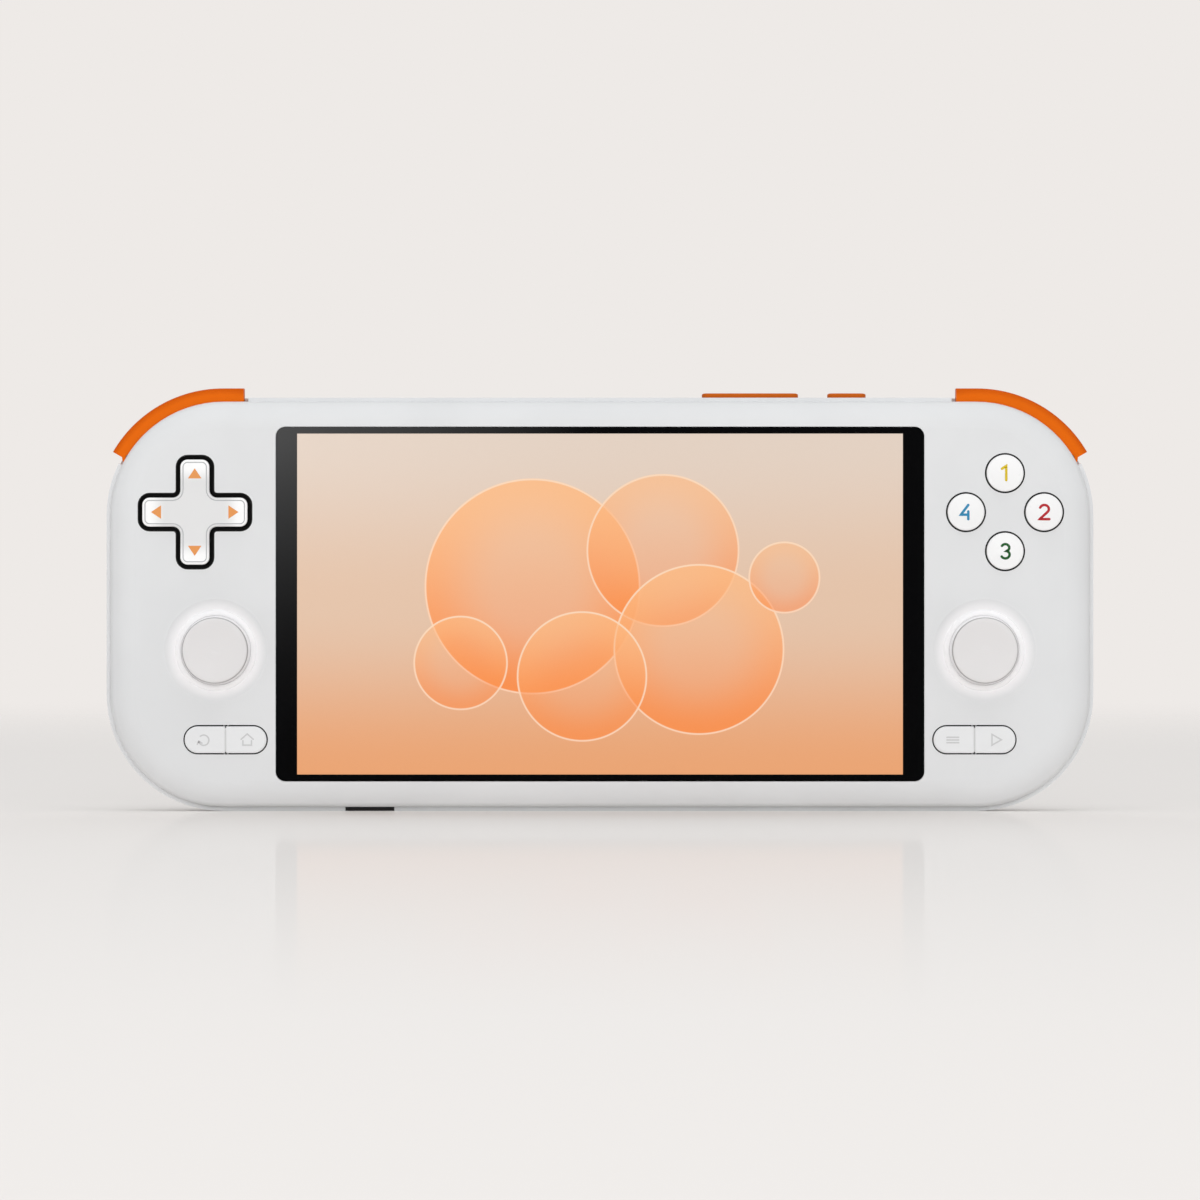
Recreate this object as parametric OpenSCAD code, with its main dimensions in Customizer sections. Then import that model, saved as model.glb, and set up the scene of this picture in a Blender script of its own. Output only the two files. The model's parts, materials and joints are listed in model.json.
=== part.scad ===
// Handheld game console: two shells, a glass-covered screen, two gimbal sticks,
// a direction pad, four face buttons, menu keys, bumpers, triggers and the parts inside.
// It stands on its bottom edge: X to the right, the front faces -Y, Z up.

/* [Body] */
// Width over the sides, mm
body_w = 220; // [205:0.5:240]
// Height, mm
body_h = 92.1; // [88:0.1:105]
// Thickness without the grips, mm
body_t = 16; // [15.2:0.1:20]
// Radius of the top corners in the front view, mm
top_corner_r = 26.2; // [24:0.1:30]
// Radius of the bottom corners in the front view, mm
bottom_corner_r = 26; // [20:0.5:30]
// Shell wall, mm
wall = 1.8; // [1.4:0.1:2.2]
// Depth of the seam between the shells behind the front face, mm
split_d = 5.2; // [4.8:0.1:6]
// How far the front shell is set in from the rear shell, mm
rim_step = 0.9; // [0.4:0.1:1.4]
// Width of the rounded front edge, mm
front_edge_w = 6; // [5:0.1:8]
// Depth of the rounded front edge, mm
front_edge_d = 4.2; // [3.6:0.1:4.6]
// Tight radius of the rounded front edge, mm
front_edge_r = 2.8; // [2.2:0.1:3.2]
// Width of the rounded back edge, mm
back_edge_w = 4.5; // [4:0.1:6]
// Depth of the rounded back edge, mm
back_edge_d = 3.5; // [3.2:0.1:4.5]
// Tight radius of the rounded back edge, mm
back_edge_r = 2.5; // [2.2:0.1:3]
// Width of one grip behind the body, mm
grip_w = 37; // [30:0.5:39]
// Height of one grip, mm
grip_h = 54; // [44:0.5:57]
// How far the grips stand out behind the body, mm
grip_d = 6; // [4.5:0.1:9]

/* [Screen] */
// Width of the control wing beside the glass, mm
wing_w = 38; // [36:0.2:40]
// Body left above the glass, mm
glass_top = 6.65; // [6.4:0.05:8]
// Body left below the glass, mm
glass_bottom = 6.75; // [6.4:0.05:8]
// Corner radius of the glass, mm
glass_r = 2.1; // [1.5:0.1:4]
// Thickness of the cover glass, mm
glass_t = 1; // [0.8:0.05:1.2]
// Black border beside the picture, mm
border_side = 4.65; // [4:0.05:6]
// Black border above and below the picture, mm
border_end = 1.45; // [1.3:0.05:2]
// Thickness of the display panel, mm
panel_t = 1.9; // [1.5:0.1:2.2]

/* [Controls] */
// Height of the pad and the button group as a share of the body height
upper_share = 0.7223; // [0.7:0.0001:0.73]
// Height of the sticks as a share of the body height
stick_share = 0.3888; // [0.375:0.0001:0.4]
// Height of the menu keys as a share of the body height
menu_share = 0.1732; // [0.165:0.0001:0.18]
// Offset of the pad and button group from the middle of the wing, mm
upper_in = 1; // [0:0.1:1.4]
// Offset of the sticks from the middle of the wing, mm
stick_in = 5.6; // [4.5:0.1:6]
// Offset of the menu keys from the middle of the wing, mm
menu_in = 7.8; // [6.5:0.1:8]
// Length of the pad across both arms, mm
pad_l = 23.6; // [21:0.1:24]
// Width of a pad arm, mm
pad_arm = 6.7; // [6:0.1:7.4]
// Gap between the pad and its opening, mm
pad_gap = 0.75; // [0.7:0.05:1]
// How far the pad stands out of the face, mm
pad_proud = 1.2; // [0.8:0.1:1.8]
// Swing of the pad to each side, degrees
pad_swing = 4.5; // [3:0.1:5]
// Diameter of a face button, mm
button_dia = 8.2; // [7.4:0.1:8.6]
// Distance of a face button from the middle of the group, mm
button_ring = 8.67; // [8.4:0.05:9.2]
// How far a face button stands out of the face, mm
button_proud = 1.4; // [1.2:0.1:2]
// Travel of a face button, mm
button_travel = 0.9; // [0.6:0.05:1.1]
// Gap round the face buttons and menu keys, mm
key_gap = 0.3; // [0.2:0.05:0.4]
// Length of a pair of menu keys, mm
menu_l = 18.2; // [16:0.1:18.8]
// Width of a pair of menu keys, mm
menu_w = 5.95; // [5:0.05:6.4]
// How far the menu keys stand out of the face, mm
menu_proud = 0.6; // [0.5:0.05:1]
// Travel of a menu key, mm
menu_travel = 0.3; // [0.2:0.05:0.4]

/* [Sticks] */
// Diameter of a stick cap, mm
cap_dia = 14.7; // [13:0.1:15.2]
// How far a stick cap stands out of the face, mm
stick_proud = 4.2; // [3.8:0.1:4.6]
// Thickness of a stick cap at the rim, mm
cap_t = 1.8; // [1.5:0.1:2]
// Radius of the round opening for a stick, mm
stick_hole_r = 8.8; // [8.6:0.05:8.9]
// Radius of the shallow dish round a stick, mm
dish_r = 11.4; // [10.8:0.1:11.8]
// Depth of the shallow dish at the opening, mm
dish_d = 1; // [0.8:0.05:1.1]
// Depth of the gimbal centre behind the face, mm
pivot_d = 5.8; // [5.6:0.05:6]
// Radius of the dome under a stick cap, mm
dome_r = 9.5; // [9.4:0.02:9.6]
// Swing of a stick to each side, degrees
stick_swing = 12; // [9:0.5:13]
// Click travel of a stick, mm
click_travel = 0.3; // [0.2:0.05:0.35]

/* [Shoulder and top keys] */
// Radius of the outer face of a bumper, mm
bumper_r = 28.34; // [27.5:0.02:29]
// Thickness of a bumper across its face, mm
bumper_t = 4.2; // [3.8:0.1:4.6]
// Depth of a bumper from front to back, mm
bumper_depth = 5.2; // [4.4:0.1:5.6]
// Bumper arc centre in from the side of the body, mm
bumper_in = 25.87; // [25:0.01:26.5]
// Bumper arc centre down from the top of the body, mm
bumper_down = 26.23; // [25.5:0.01:27]
// Angle that the bumper arc covers, degrees
bumper_arc = 60; // [56:0.5:62]
// Straight end of a bumper past its arc, mm
bumper_end = 4.7; // [4.2:0.1:6]
// Press of a bumper, degrees
bumper_swing = 2.4; // [1.5:0.1:2.6]
// Trigger hinge down from the top of the body, mm
trigger_down = 11.4; // [11:0.1:13]
// Trigger hinge depth behind the face, mm
trigger_d = 10.5; // [10.2:0.1:11.5]
// Reach of a trigger from its hinge, mm
trigger_r = 17; // [14:0.2:18]
// Width of a trigger, mm
trigger_w = 20; // [16:0.2:20.4]
// Pull of a trigger, degrees
trigger_swing = 15; // [8:0.5:16]
// Middle of the volume rocker in from the right side of the body, mm
volume_in = 76.5; // [74:0.1:82]
// Length of the volume rocker, mm
volume_l = 21.5; // [16:0.1:24]
// Middle of the power key in from the right side of the body, mm
power_in = 54.94; // [53:0.02:57]
// Length of the power key, mm
power_l = 8.6; // [7:0.1:9]
// Depth of the top keys from front to back, mm
top_key_w = 3.4; // [2.8:0.1:3.8]
// How far the top keys stand out of the body, mm
top_key_proud = 1.05; // [0.5:0.05:1.2]
// Tilt of the volume rocker to each side, degrees
volume_swing = 1.6; // [1:0.1:1.8]
// Travel of the power key, mm
power_travel = 0.35; // [0.2:0.05:0.4]

/* [Ports] */
// Middle of the charge port from the middle of the body, mm
usb_x = 0.5; // [-3:0.1:3]
// Middle of the sound socket from the middle of the body, mm
jack_x = -15.8; // [-18:0.1:-13]
// Radius of the sound socket, mm
jack_r = 1.78; // [1.76:0.01:1.85]
// Length of the sound socket, mm
jack_l = 12; // [11:0.1:14]
// Middle of the card slot in from the left end of the glass, mm
card_in = 20.7; // [19.5:0.1:23]
// Width of the card slot, mm
card_w = 10.6; // [10.2:0.1:11.4]

/* [Hidden] */
$fn = 96;

// Shared clearances
running = 0.05;
air = 0.3;
seat = 0.1;
cut = 1;

// Shell depths and outlines
face_y = -body_t / 2;
back_in_d = body_t - wall;
half_w = body_w / 2;
front_in = rim_step + wall;
inner_edge_w = front_edge_w - wall - 0.2;
inner_edge_d = front_edge_d - wall + 0.2;
inner_edge_r = inner_edge_d * 0.6;
back_in_edge_w = back_edge_w - 1;
back_in_edge_d = back_edge_d - 1;
back_in_edge_r = back_in_edge_d * 0.6;
grip_r = grip_w / 2 - 1;
grip_side = 3.2;
grip_edge_w = grip_d + 2.5;
grip_edge_d = grip_d - 0.3;
grip_edge_r = grip_edge_d * 0.62;
grip_x = half_w - grip_side - grip_w / 2;
grip_z = (body_h - glass_top) * 0.09;
grip_root = 2;

// Screen stack
glass_w = body_w - 2 * wing_w;
glass_h = body_h - glass_top - glass_bottom;
picture_w = glass_w - 2 * border_side;
picture_h = glass_h - 2 * border_end;
panel_w = picture_w + 2.8;
panel_h = picture_h + 0.8;
ledge_gap = 0.25;
screen_z = glass_bottom + glass_h / 2;
frame_d = glass_t + panel_t + 0.2;
frame_t = 1;
frame_back = frame_d + frame_t;
frame_w = glass_w - 2;
frame_h = glass_h - 3;
frame_boss_x = glass_w / 2 - 1.4;
frame_boss_r = 1.3;
frame_pilot_r = 0.62;

// Control positions on one wing, measured from the middle of the body
wing_mid = half_w - wing_w / 2;
upper_x = wing_mid - upper_in;
upper_z = body_h * upper_share;
stick_x = wing_mid - stick_in;
stick_z = body_h * stick_share;
menu_x = wing_mid - menu_in;
menu_z = body_h * menu_share;

// Boards behind the controls
board_d = pivot_d + 2;
board_t = 1;
board_back = board_d + board_t;
board_out = half_w - 9.5;
board_in = half_w - wing_w + 3.5;
board_low = 9;
board_top = upper_z + 11.1;
boss_out = 8.8;
board_boss_r = 1.9;
board_pilot_r = 0.75;
low_boss_x = 11.4;
low_boss_z = 13.2;

// Direction pad
pad_corner = 1.7;
pad_fillet = 0.8;
pad_open_arm = pad_arm + 2 * pad_gap;
pad_open_l = pad_l + 2 * pad_gap;
pad_flange_l = pad_open_l + 1.4;
pad_flange_arm = pad_open_arm + 1.4;
pad_flange_d = wall + (pad_flange_l + pad_flange_arm) / 2 * sin(pad_swing) + 0.15;
pad_flange_t = 1;
pad_under = pad_flange_d + pad_flange_t;
ball_r = 1.6;
ball_d = pad_under + 1.3;
pad_hub_r = 2.9;
pad_plunger_at = pad_l / 2 - 3;
pad_plunger_r = 1.6;
pad_plunger_l = 0.7;
membrane_t = 0.8;
pad_tip_d = pad_under + pad_plunger_l + (pad_plunger_at + 2 * pad_plunger_r) * sin(pad_swing) + 0.06;

// Face buttons
button_r = button_dia / 2;
button_hole_r = button_r + key_gap;
button_flange_r = button_hole_r + 0.6;
button_flange_d = wall + seat;
button_flange_t = 0.9;
button_stem_r = 2;
button_tip_d = button_flange_d + button_flange_t + 1.8;

// Menu keys
menu_split = 0.3;
menu_open_l = menu_l + 2 * key_gap;
menu_open_w = menu_w + 2 * key_gap;
menu_flange = key_gap + 0.7;
menu_flange_t = 0.8;
menu_tip_d = wall + seat + menu_flange_t + 1.6;
menu_stem_r = 1.1;

// Sticks
cap_r = cap_dia / 2;
cap_under = cap_t - stick_proud;
dome_t = 0.8;
dome_rim = asin(stick_hole_r / dome_r) + stick_swing;
gimbal_air = 0.3;
base_w = 14.6;
base_wall = 0.8;
base_flange_w = 18.6;
base_flange_t = 0.8;
base_corner = 3;
base_end = board_back + 4.4;
carrier_w = base_w - 2 * base_wall - 0.4;
post_t = 0.9;
post_out = carrier_w / 2 - 0.1;
post_top = pivot_d - 1.2;
carrier_t = 1;
carrier_end = base_end - base_wall - click_travel - 0.4;
ring_r = post_out - post_t - gimbal_air;
ring_wall = 1.3;
ring_h = 1.6;
gimbal_pin_r = 0.55;
rod_r = 1.8;
hub_r = 2.2;

// Bumpers
bumper_x = -(half_w - bumper_in);
bumper_z = body_h - bumper_down;
bumper_d = split_d + air;
bumper_back = bumper_d + bumper_depth;
bumper_in_r = bumper_r - bumper_t;
bumper_soft = 0.8;
knuckle_r = 1.6;
knuckle_at = bumper_r - 3.9;
knuckle_angle = bumper_arc - 1.5;
knuckle_air = 0.45;
bay_angle = knuckle_angle + asin((knuckle_r + knuckle_air) / knuckle_at);
knuckle_x = bumper_x - knuckle_at * sin(knuckle_angle);
knuckle_z = bumper_z + knuckle_at * cos(knuckle_angle);
bumper_pin_r = 0.8;
pin_hold = 2;
pin_boss_x = knuckle_x + 1.4;
pin_boss_z = knuckle_z - 0.8;
pin_boss_r = knuckle_r + 0.9;
// Web from the boss to the middle of the side wall
pin_web_t = 1;
pin_web_air = 0.2;
pin_web_rise = max(0, pin_boss_z - body_h + top_corner_r);
pin_web_end = top_corner_r - half_w - sqrt(pow(top_corner_r - wall / 2, 2) - pow(pin_web_rise, 2));
bumper_end_x = bumper_x + bumper_end;
bumper_drop = (bumper_end_x - knuckle_x) * sin(bumper_swing);
bumper_side = (bumper_z + bumper_r - knuckle_z) * sin(bumper_swing);
bay_r = bumper_in_r - bumper_drop - 0.5;
lug_w = 3.6;
lug_front = bumper_d + air;
lug_back = bumper_d + 3;
lug_z = bumper_z + bumper_in_r - 1.7;
lug_x = bumper_end_x - 3.4;
lug_drop = (lug_x + lug_w / 2 - knuckle_x) * sin(bumper_swing) + 0.06;
bumper_shelf_z = lug_z - lug_drop - 3.2;
bumper_switch_d = bumper_d + 1;

// Triggers
trigger_z = body_h - trigger_down;
trigger_hub_r = 2.6;
trigger_pin_r = 0.9;
trigger_low = -75;
trigger_high = -30;
trigger_tip_r = 2.2;
trigger_in = 25;
trigger_x = trigger_in - half_w;
trigger_left = trigger_x - trigger_w / 2;
trigger_right = trigger_x + trigger_w / 2;
ear_t = 2;
ear_top = trigger_z + 1.3;
tip_over = 0.03;
tip_back = trigger_r - trigger_tip_r + tip_over;
tip_angle = trigger_high - asin((trigger_tip_r - tip_over) / tip_back);

// Top keys
volume_x = half_w - volume_in;
power_x = half_w - power_in;
top_key_d = (split_d + body_t - back_edge_d) / 2 + 0.1;
top_z = body_h;
top_in = body_h - wall;
top_flange = 0.7;
top_flange_t = 0.8;
volume_rise = (volume_l / 2 + key_gap + top_flange) * sin(volume_swing);
volume_flange_z = top_in - volume_rise - 0.1;
volume_stem_at = volume_l / 2 - 3;
rocker_bead_r = 0.6;
top_stem_r = 0.9;
top_stem_l = 0.6;
power_flange_z = top_in - seat;
switch_h = 1.6;
top_board_z = top_in - 5.6;
top_board_t = 0.8;
top_board_w = 4;

// Ports
port_d = body_t / 2 + 2.4;
usb_w = 8.94;
usb_t = 3.16;
usb_skin = 0.3;
usb_l = 7.3;
port_back = port_d + usb_t / 2;
port_board_t = 0.8;
port_low = 0.3;
jack_out_r = 2.5;
jack_nose = 2.2;
jack_w = 6;
card_x = card_in - glass_w / 2;
card_d = split_d - 1.2;
card_t = 2.2;
reader_d = frame_back + 0.15;
reader_t = 1.7;

// Large parts inside
battery_w = glass_w - 28;
battery_z = jack_l + port_low + 4;
battery_top = body_h / 2 - 0.2;
battery_back = back_in_d - 2.2;
board_low_z = battery_top + 2.3;
board_high_z = body_h - glass_top - 2;
fan_in = 23;
fan_x = fan_in - glass_w / 2;
fan_size = 31;
fan_boss_at = fan_size / 2 - 2.5;
fan_z = (board_low_z + board_high_z) / 2 - 0.8;
fan_front = frame_back + 3;
fan_back = back_in_d - 0.4;
fan_hole_r = 13;
vent_pitch = 2.8;
rotor_r = fan_hole_r - 0.6;
rotor_hub_r = 5.4;
sink_d = back_in_d - 1.2;
sink_back = back_in_d - 0.3;
sink_left = fan_x - 13.8;
sink_foot_x = fan_x + 27;
sink_foot_w = 17;
sink_foot_low = fan_z - 6;
sink_foot_top = fan_z + 8;
sink_bridge = 8;
fin_t = 0.5;
fin_pitch = 2.2;
chip_t = 1.2;
board_side = 12;
board_left = fan_x + fan_size / 2 + 3;
board_right = glass_w / 2 - board_side;
CHIPS = [[fan_x + 29, fan_z - 7, 16, 16, chip_t], [fan_x + 53, fan_z - 9, 12, 12, 1],
    [fan_x + 71, fan_z - 9, 14, 16, 1]];
speaker_x = half_w - wing_w - 2;
speaker_w = 10;
speaker_z = wall + 0.3;
speaker_h = 11.5;

// Screws
case_boss_r = 2.2;
case_pilot_r = 0.85;
case_screw_r = 0.8;
case_head_r = 1.7;
case_head_t = 1.1;
case_boss_d = body_t / 2 + 1;
case_edge = 5.2;
screw_in = 0.08;
case_post_r = case_boss_r + 0.4;
case_low_x = speaker_x - speaker_w / 2 - case_post_r - 0.4;
case_mid_x = 30;
case_top_x = half_w - wing_w - 6;
case_top = body_h - case_edge;
CASE_SPOTS = [for (x = [-case_low_x, -case_mid_x, case_mid_x, case_low_x]) [x, case_edge],
    for (x = [-case_top_x, 0, case_top_x]) [x, case_top]];
FRAME_SPOTS = [for (s = [-1, 1]) for (k = [-0.42, 0, 0.42])
    [s * frame_boss_x, screen_z + k * glass_h]];
WING_SPOTS = [[upper_x - boss_out, upper_z + boss_out], [upper_x + boss_out, upper_z - boss_out],
    [upper_x - boss_out, upper_z - boss_out], [stick_x + low_boss_x, stick_z - low_boss_z]];
MAIN_SPOTS = [for (x = [fan_x + 25, board_right - 6]) for (z = [board_low_z + 3, board_high_z - 3]) [x, z]];
PORT_SPOTS = [[jack_x - 6, port_low + 9], [usb_x + 7.2, port_low + 9]];

// Placing helpers

// Children drawn as x, height, depth behind the face
module facing() {
    translate([0, face_y, 0]) rotate([90, 0, 0]) mirror([0, 0, 1]) children();
}

// Flat outline through the depth from d0 to d1
module slice(d0, d1) {
    translate([0, 0, d0]) linear_extrude(height = d1 - d0) children();
}

// Outline in x and depth, standing from height z0 to z1
module upright(z0, z1) {
    translate([0, z1, 0]) rotate([90, 0, 0]) linear_extrude(height = z1 - z0) children();
}

// Outline in depth and height, running from x0 to x1
module sideways(x0, x1) {
    translate([x0, 0, 0]) mirror([0, 0, 1]) rotate([0, 90, 0])
        linear_extrude(height = x1 - x0) children();
}

// The right-hand twin of a left-hand piece
module twin() {
    mirror([1, 0, 0]) children();
}

// Both sides
module pair() {
    children();
    twin() children();
}

module disc_at(spot, r) {
    translate(spot) circle(r = r);
}

// Box by its low corner and its high corner in x, height, depth
module block(low, high) {
    translate(low) cube(high - low);
}

module round_rect(w, h, r) {
    square([w - 2 * r, h], center = true);
    square([w, h - 2 * r], center = true);
    for (sx = [-1, 1], sy = [-1, 1]) translate([sx * (w / 2 - r), sy * (h / 2 - r)]) circle(r = r);
}

module pill(l, w) {
    square([l - w, w], center = true);
    for (s = [-1, 1]) translate([s * (l - w) / 2, 0]) circle(d = w);
}

// Outline with its own top and bottom corner radii, standing on zero
module plate_outline(w, h, top_r, low_r) {
    polygon([[-w / 2 + low_r, 0], [w / 2 - low_r, 0], [w / 2, low_r], [w / 2, h - top_r],
        [w / 2 - top_r, h], [-w / 2 + top_r, h], [-w / 2, h - top_r], [-w / 2, low_r]]);
    for (s = [-1, 1]) {
        translate([s * (w / 2 - low_r), low_r]) circle(r = low_r);
        translate([s * (w / 2 - top_r), h - top_r]) circle(r = top_r);
    }
}

module body_outline(inset) {
    translate([0, inset])
        plate_outline(body_w - 2 * inset, body_h - 2 * inset,
            top_corner_r - inset, bottom_corner_r - inset);
}

// Edge section of a wide arc and a tight arc: distance in from the side, and depth.
// The tight arc is a trace larger than the tangent one, so that the two cross cleanly.
module edge_section(ew, ed, er, end) {
    big = (pow(ew - er, 2) + ed * ed - er * er) / (2 * (ed - er));
    reach = 2 * big / (big - er);
    far = [ew + (er - ew) * reach, big + (ed - big) * reach];
    tight = er * 1.012;
    intersection() {
        translate([ew, big]) circle(r = big);
        polygon([[er, ed], far, [ew, far[1]], [ew, ed]]);
    }
    intersection() {
        translate([tight, ed]) circle(r = tight);
        square([ew, ed]);
    }
    translate([0, ed]) square([ew, end - ed]);
}

// Slab with a softened edge towards depth zero, standing on height zero
module soft_slab(w, h, top_r, low_r, ew, ed, er, end) {
    linear_extrude(height = end)
        translate([0, ew]) plate_outline(w - 2 * ew, h - 2 * ew, top_r - ew, low_r - ew);
    for (s = [0, 1]) mirror([s, 0, 0])
        translate([-w / 2, h - top_r, 0]) rotate([90, 0, 0])
            linear_extrude(height = h - top_r - low_r)
            edge_section(ew, ed, er, end);
    for (s = [-1, 1]) {
        translate([s * (w / 2 - top_r), h - top_r, 0])
            rotate([0, 0, 45 - 45 * s]) rotate_extrude(angle = 90)
            translate([top_r, 0]) mirror([1, 0]) edge_section(ew, ed, er, end);
        translate([s * (w / 2 - low_r), low_r, 0])
            rotate([0, 0, 225 + 45 * s]) rotate_extrude(angle = 90)
            translate([low_r, 0]) mirror([1, 0]) edge_section(ew, ed, er, end);
    }
    translate([low_r - w / 2, 0, 0]) rotate([90, 0, 90]) linear_extrude(height = w - 2 * low_r)
        edge_section(ew, ed, er, end);
    translate([top_r - w / 2, h, 0]) mirror([0, 1, 0]) rotate([90, 0, 90])
        linear_extrude(height = w - 2 * top_r) edge_section(ew, ed, er, end);
}

// Soft slab in the body outline
module body_slab(inset, ew, ed, er, end) {
    translate([0, inset, 0])
        soft_slab(body_w - 2 * inset, body_h - 2 * inset, top_corner_r - inset, bottom_corner_r - inset,
            ew, ed, er, end);
}

// The same, with the softened edge towards the back at depth d
module from_back(d) {
    translate([0, 0, d]) mirror([0, 0, 1]) children();
}

// Cross with rounded ends and rounded inner corners, whose arcs run a trace past the tangent
module cross(l, arm, r, inner) {
    round_rect(l, arm, r);
    round_rect(arm, l, r);
    for (k = [0:3]) rotate(90 * k) inner_corner(arm, inner);
}

module inner_corner(arm, inner) {
    translate([arm / 2, arm / 2]) difference() {
        square(inner);
        translate([inner, inner]) circle(r = inner * 1.02);
    }
}

// A small press switch: body under a round plunger, in its own z
module press_switch(w, h, plunger) {
    linear_extrude(height = h) square([w, w], center = true);
    translate([0, 0, h]) cylinder(r = w * 0.22, h = plunger);
}

// Shells

module front_openings() {
    translate([0, screen_z]) round_rect(panel_w + 2 * ledge_gap, panel_h + 2 * ledge_gap, glass_r * 0.5);
    translate([-upper_x, upper_z]) cross(pad_open_l, pad_open_arm, pad_corner + pad_gap, pad_fillet);
    for (k = [0:3]) translate([upper_x, upper_z]) rotate(90 * k)
        translate([button_ring, 0]) circle(r = button_hole_r);
    for (s = [-1, 1]) {
        translate([s * stick_x, stick_z]) circle(r = stick_hole_r);
        translate([s * menu_x, menu_z]) pill(menu_open_l, menu_open_w);
    }
}

module stick_relief() {
    translate([-stick_x, stick_z, 0]) {
        translate([0, 0, -cut]) cylinder(r1 = dish_r + cut * (dish_r - stick_hole_r) / dish_d,
            r2 = stick_hole_r, h = dish_d + cut);
        translate([0, 0, pivot_d]) sphere(r = dome_r + air);
    }
}

module front_bosses() {
    for (p = FRAME_SPOTS) translate([0, 0, wall - seat]) linear_extrude(height = frame_d - wall + seat)
        disc_at(p, frame_boss_r);
    pair() for (p = WING_SPOTS) translate([0, 0, wall - seat]) linear_extrude(height = board_d - wall + seat)
        disc_at([-p[0], p[1]], board_boss_r);
    for (p = CASE_SPOTS) translate([0, 0, wall - seat]) linear_extrude(height = case_boss_d - wall + seat)
        disc_at(p, case_boss_r);
    pair() block([lug_x - lug_w / 2 - 1, bumper_shelf_z - 1, wall - seat],
        [lug_x + lug_w / 2 + 1, bumper_shelf_z, trigger_d - trigger_hub_r - air]);
}

module front_pilots() {
    for (p = FRAME_SPOTS) slice(wall, frame_d + cut) disc_at(p, frame_pilot_r);
    pair() for (p = WING_SPOTS) slice(wall + 1, board_d + cut) disc_at([-p[0], p[1]], board_pilot_r);
    for (p = CASE_SPOTS) slice(wall + 1, case_boss_d + cut) disc_at(p, case_pilot_r);
}

module front_shell() {
    color([0.87, 0.87, 0.87]) facing() difference() {
        union() {
            difference() {
                body_slab(rim_step, front_edge_w, front_edge_d, front_edge_r, split_d);
                translate([0, 0, wall])
                    body_slab(front_in, inner_edge_w, inner_edge_d, inner_edge_r, split_d);
            }
            front_bosses();
        }
        slice(-cut, wall + cut / 2) front_openings();
        slice(-cut, glass_t) translate([0, screen_z])
            round_rect(glass_w + 2 * seat, glass_h + 2 * seat, glass_r + seat);
        pair() stick_relief();
        front_pilots();
        card_cut();
    }
}

module card_cut() {
    upright(-cut, wall + rim_step + cut) translate([card_x, card_d + card_t / 2])
        round_rect(card_w + 2 * seat, card_t, 0.5);
}

module rear_bay() {
    sweep = 50;
    slice(split_d - cut, bumper_back + air) difference() {
        intersection() {
            translate([bumper_x, bumper_z]) circle(r = sweep);
            translate([bumper_x, bumper_z]) polygon([[0, 0], [bumper_end + bumper_side + 0.4, 0],
                [bumper_end + bumper_side + 0.4, sweep], [-sweep, sweep],
                [-sweep, sweep / tan(bay_angle)]]);
        }
        translate([bumper_x, bumper_z]) circle(r = bay_r);
    }
}

module trigger_cut() {
    reach = trigger_r + air;
    pulled = trigger_low - trigger_swing - 1.2;
    sideways(trigger_left - air, trigger_right + air) translate([trigger_d, trigger_z]) {
        circle(r = trigger_hub_r + air);
        intersection() {
            circle(r = reach);
            polygon([[0, 0], 2 * reach * [cos(pulled), sin(pulled)], [2 * reach, -2 * reach],
                [2 * reach, 2 * reach * tan(trigger_high + 4)], [trigger_hub_r, trigger_hub_r * 0.4]]);
        }
    }
}

module rear_posts() {
    for (p = CASE_SPOTS) slice(case_boss_d + seat, back_in_d + seat) disc_at(p, case_post_r);
    for (p = PORT_SPOTS) slice(port_back + port_board_t, back_in_d + seat) disc_at(p, board_boss_r);
    pair() {
        slice(bumper_back + air, bumper_back + air + pin_hold)
            disc_at([pin_boss_x, pin_boss_z], pin_boss_r);
        block([pin_web_end, pin_boss_z - pin_web_t / 2, bumper_back + air + pin_web_air],
            [pin_boss_x, pin_boss_z + pin_web_t / 2, bumper_back + air + pin_hold - pin_web_air]);
        for (x = [trigger_left - air - ear_t, trigger_right + air]) sideways(x, x + ear_t)
            translate([trigger_d - trigger_hub_r, trigger_z - trigger_hub_r])
                square([back_in_d + seat - trigger_d + trigger_hub_r, ear_top - trigger_z + trigger_hub_r]);
    }
    for (x = [volume_x - volume_l / 2 - 1, power_x + power_l / 2 - 1])
        block([x, top_board_z - 1, top_key_d - top_board_w / 2], [x + 2, top_board_z, back_in_d + seat]);
}

module grip_slab(inset, back) {
    translate([-grip_x, grip_z + inset, 0]) from_back(back)
        soft_slab(grip_w - 2 * inset, grip_h - 2 * inset, grip_r - inset, grip_r - inset,
            grip_edge_w - inset, grip_edge_d - inset, grip_edge_r - inset * 0.6, grip_d + grip_root + inset);
}

module rear_vents() {
    for (k = [-4:4]) {
        half = sqrt(pow(fan_hole_r - 1, 2) - pow(k * vent_pitch, 2));
        slice(back_in_d - cut, body_t + cut)
            translate([fan_x, fan_z + k * vent_pitch]) pill(2 * half, vent_pitch / 2);
    }
    for (k = [-5:5]) upright(top_in - cut, top_z + cut)
        translate([fan_x + k * 2.5, top_key_d]) pill_deep(1.3, 4.4);
    for (s = [-1, 1], k = [-1.5:1.5]) upright(-cut, wall + cut)
        translate([s * speaker_x + k * 2.2, top_key_d]) pill_deep(1.1, 4);
}

module pill_deep(w, l) {
    rotate(90) pill(l, w);
}

module port_cuts() {
    upright(-cut, wall + cut) {
        translate([usb_x, port_d]) round_rect(usb_w + 2 * air, usb_t + 2 * air, usb_t / 2);
        translate([jack_x, port_d]) circle(r = jack_out_r + air);
    }
    card_cut();
}

module top_cuts() {
    upright(top_in - cut, top_z + cut) {
        translate([volume_x, top_key_d]) pill(volume_l + 2 * key_gap, top_key_w + 2 * key_gap);
        translate([power_x, top_key_d]) pill(power_l + 2 * key_gap, top_key_w + 2 * key_gap);
    }
}

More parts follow.
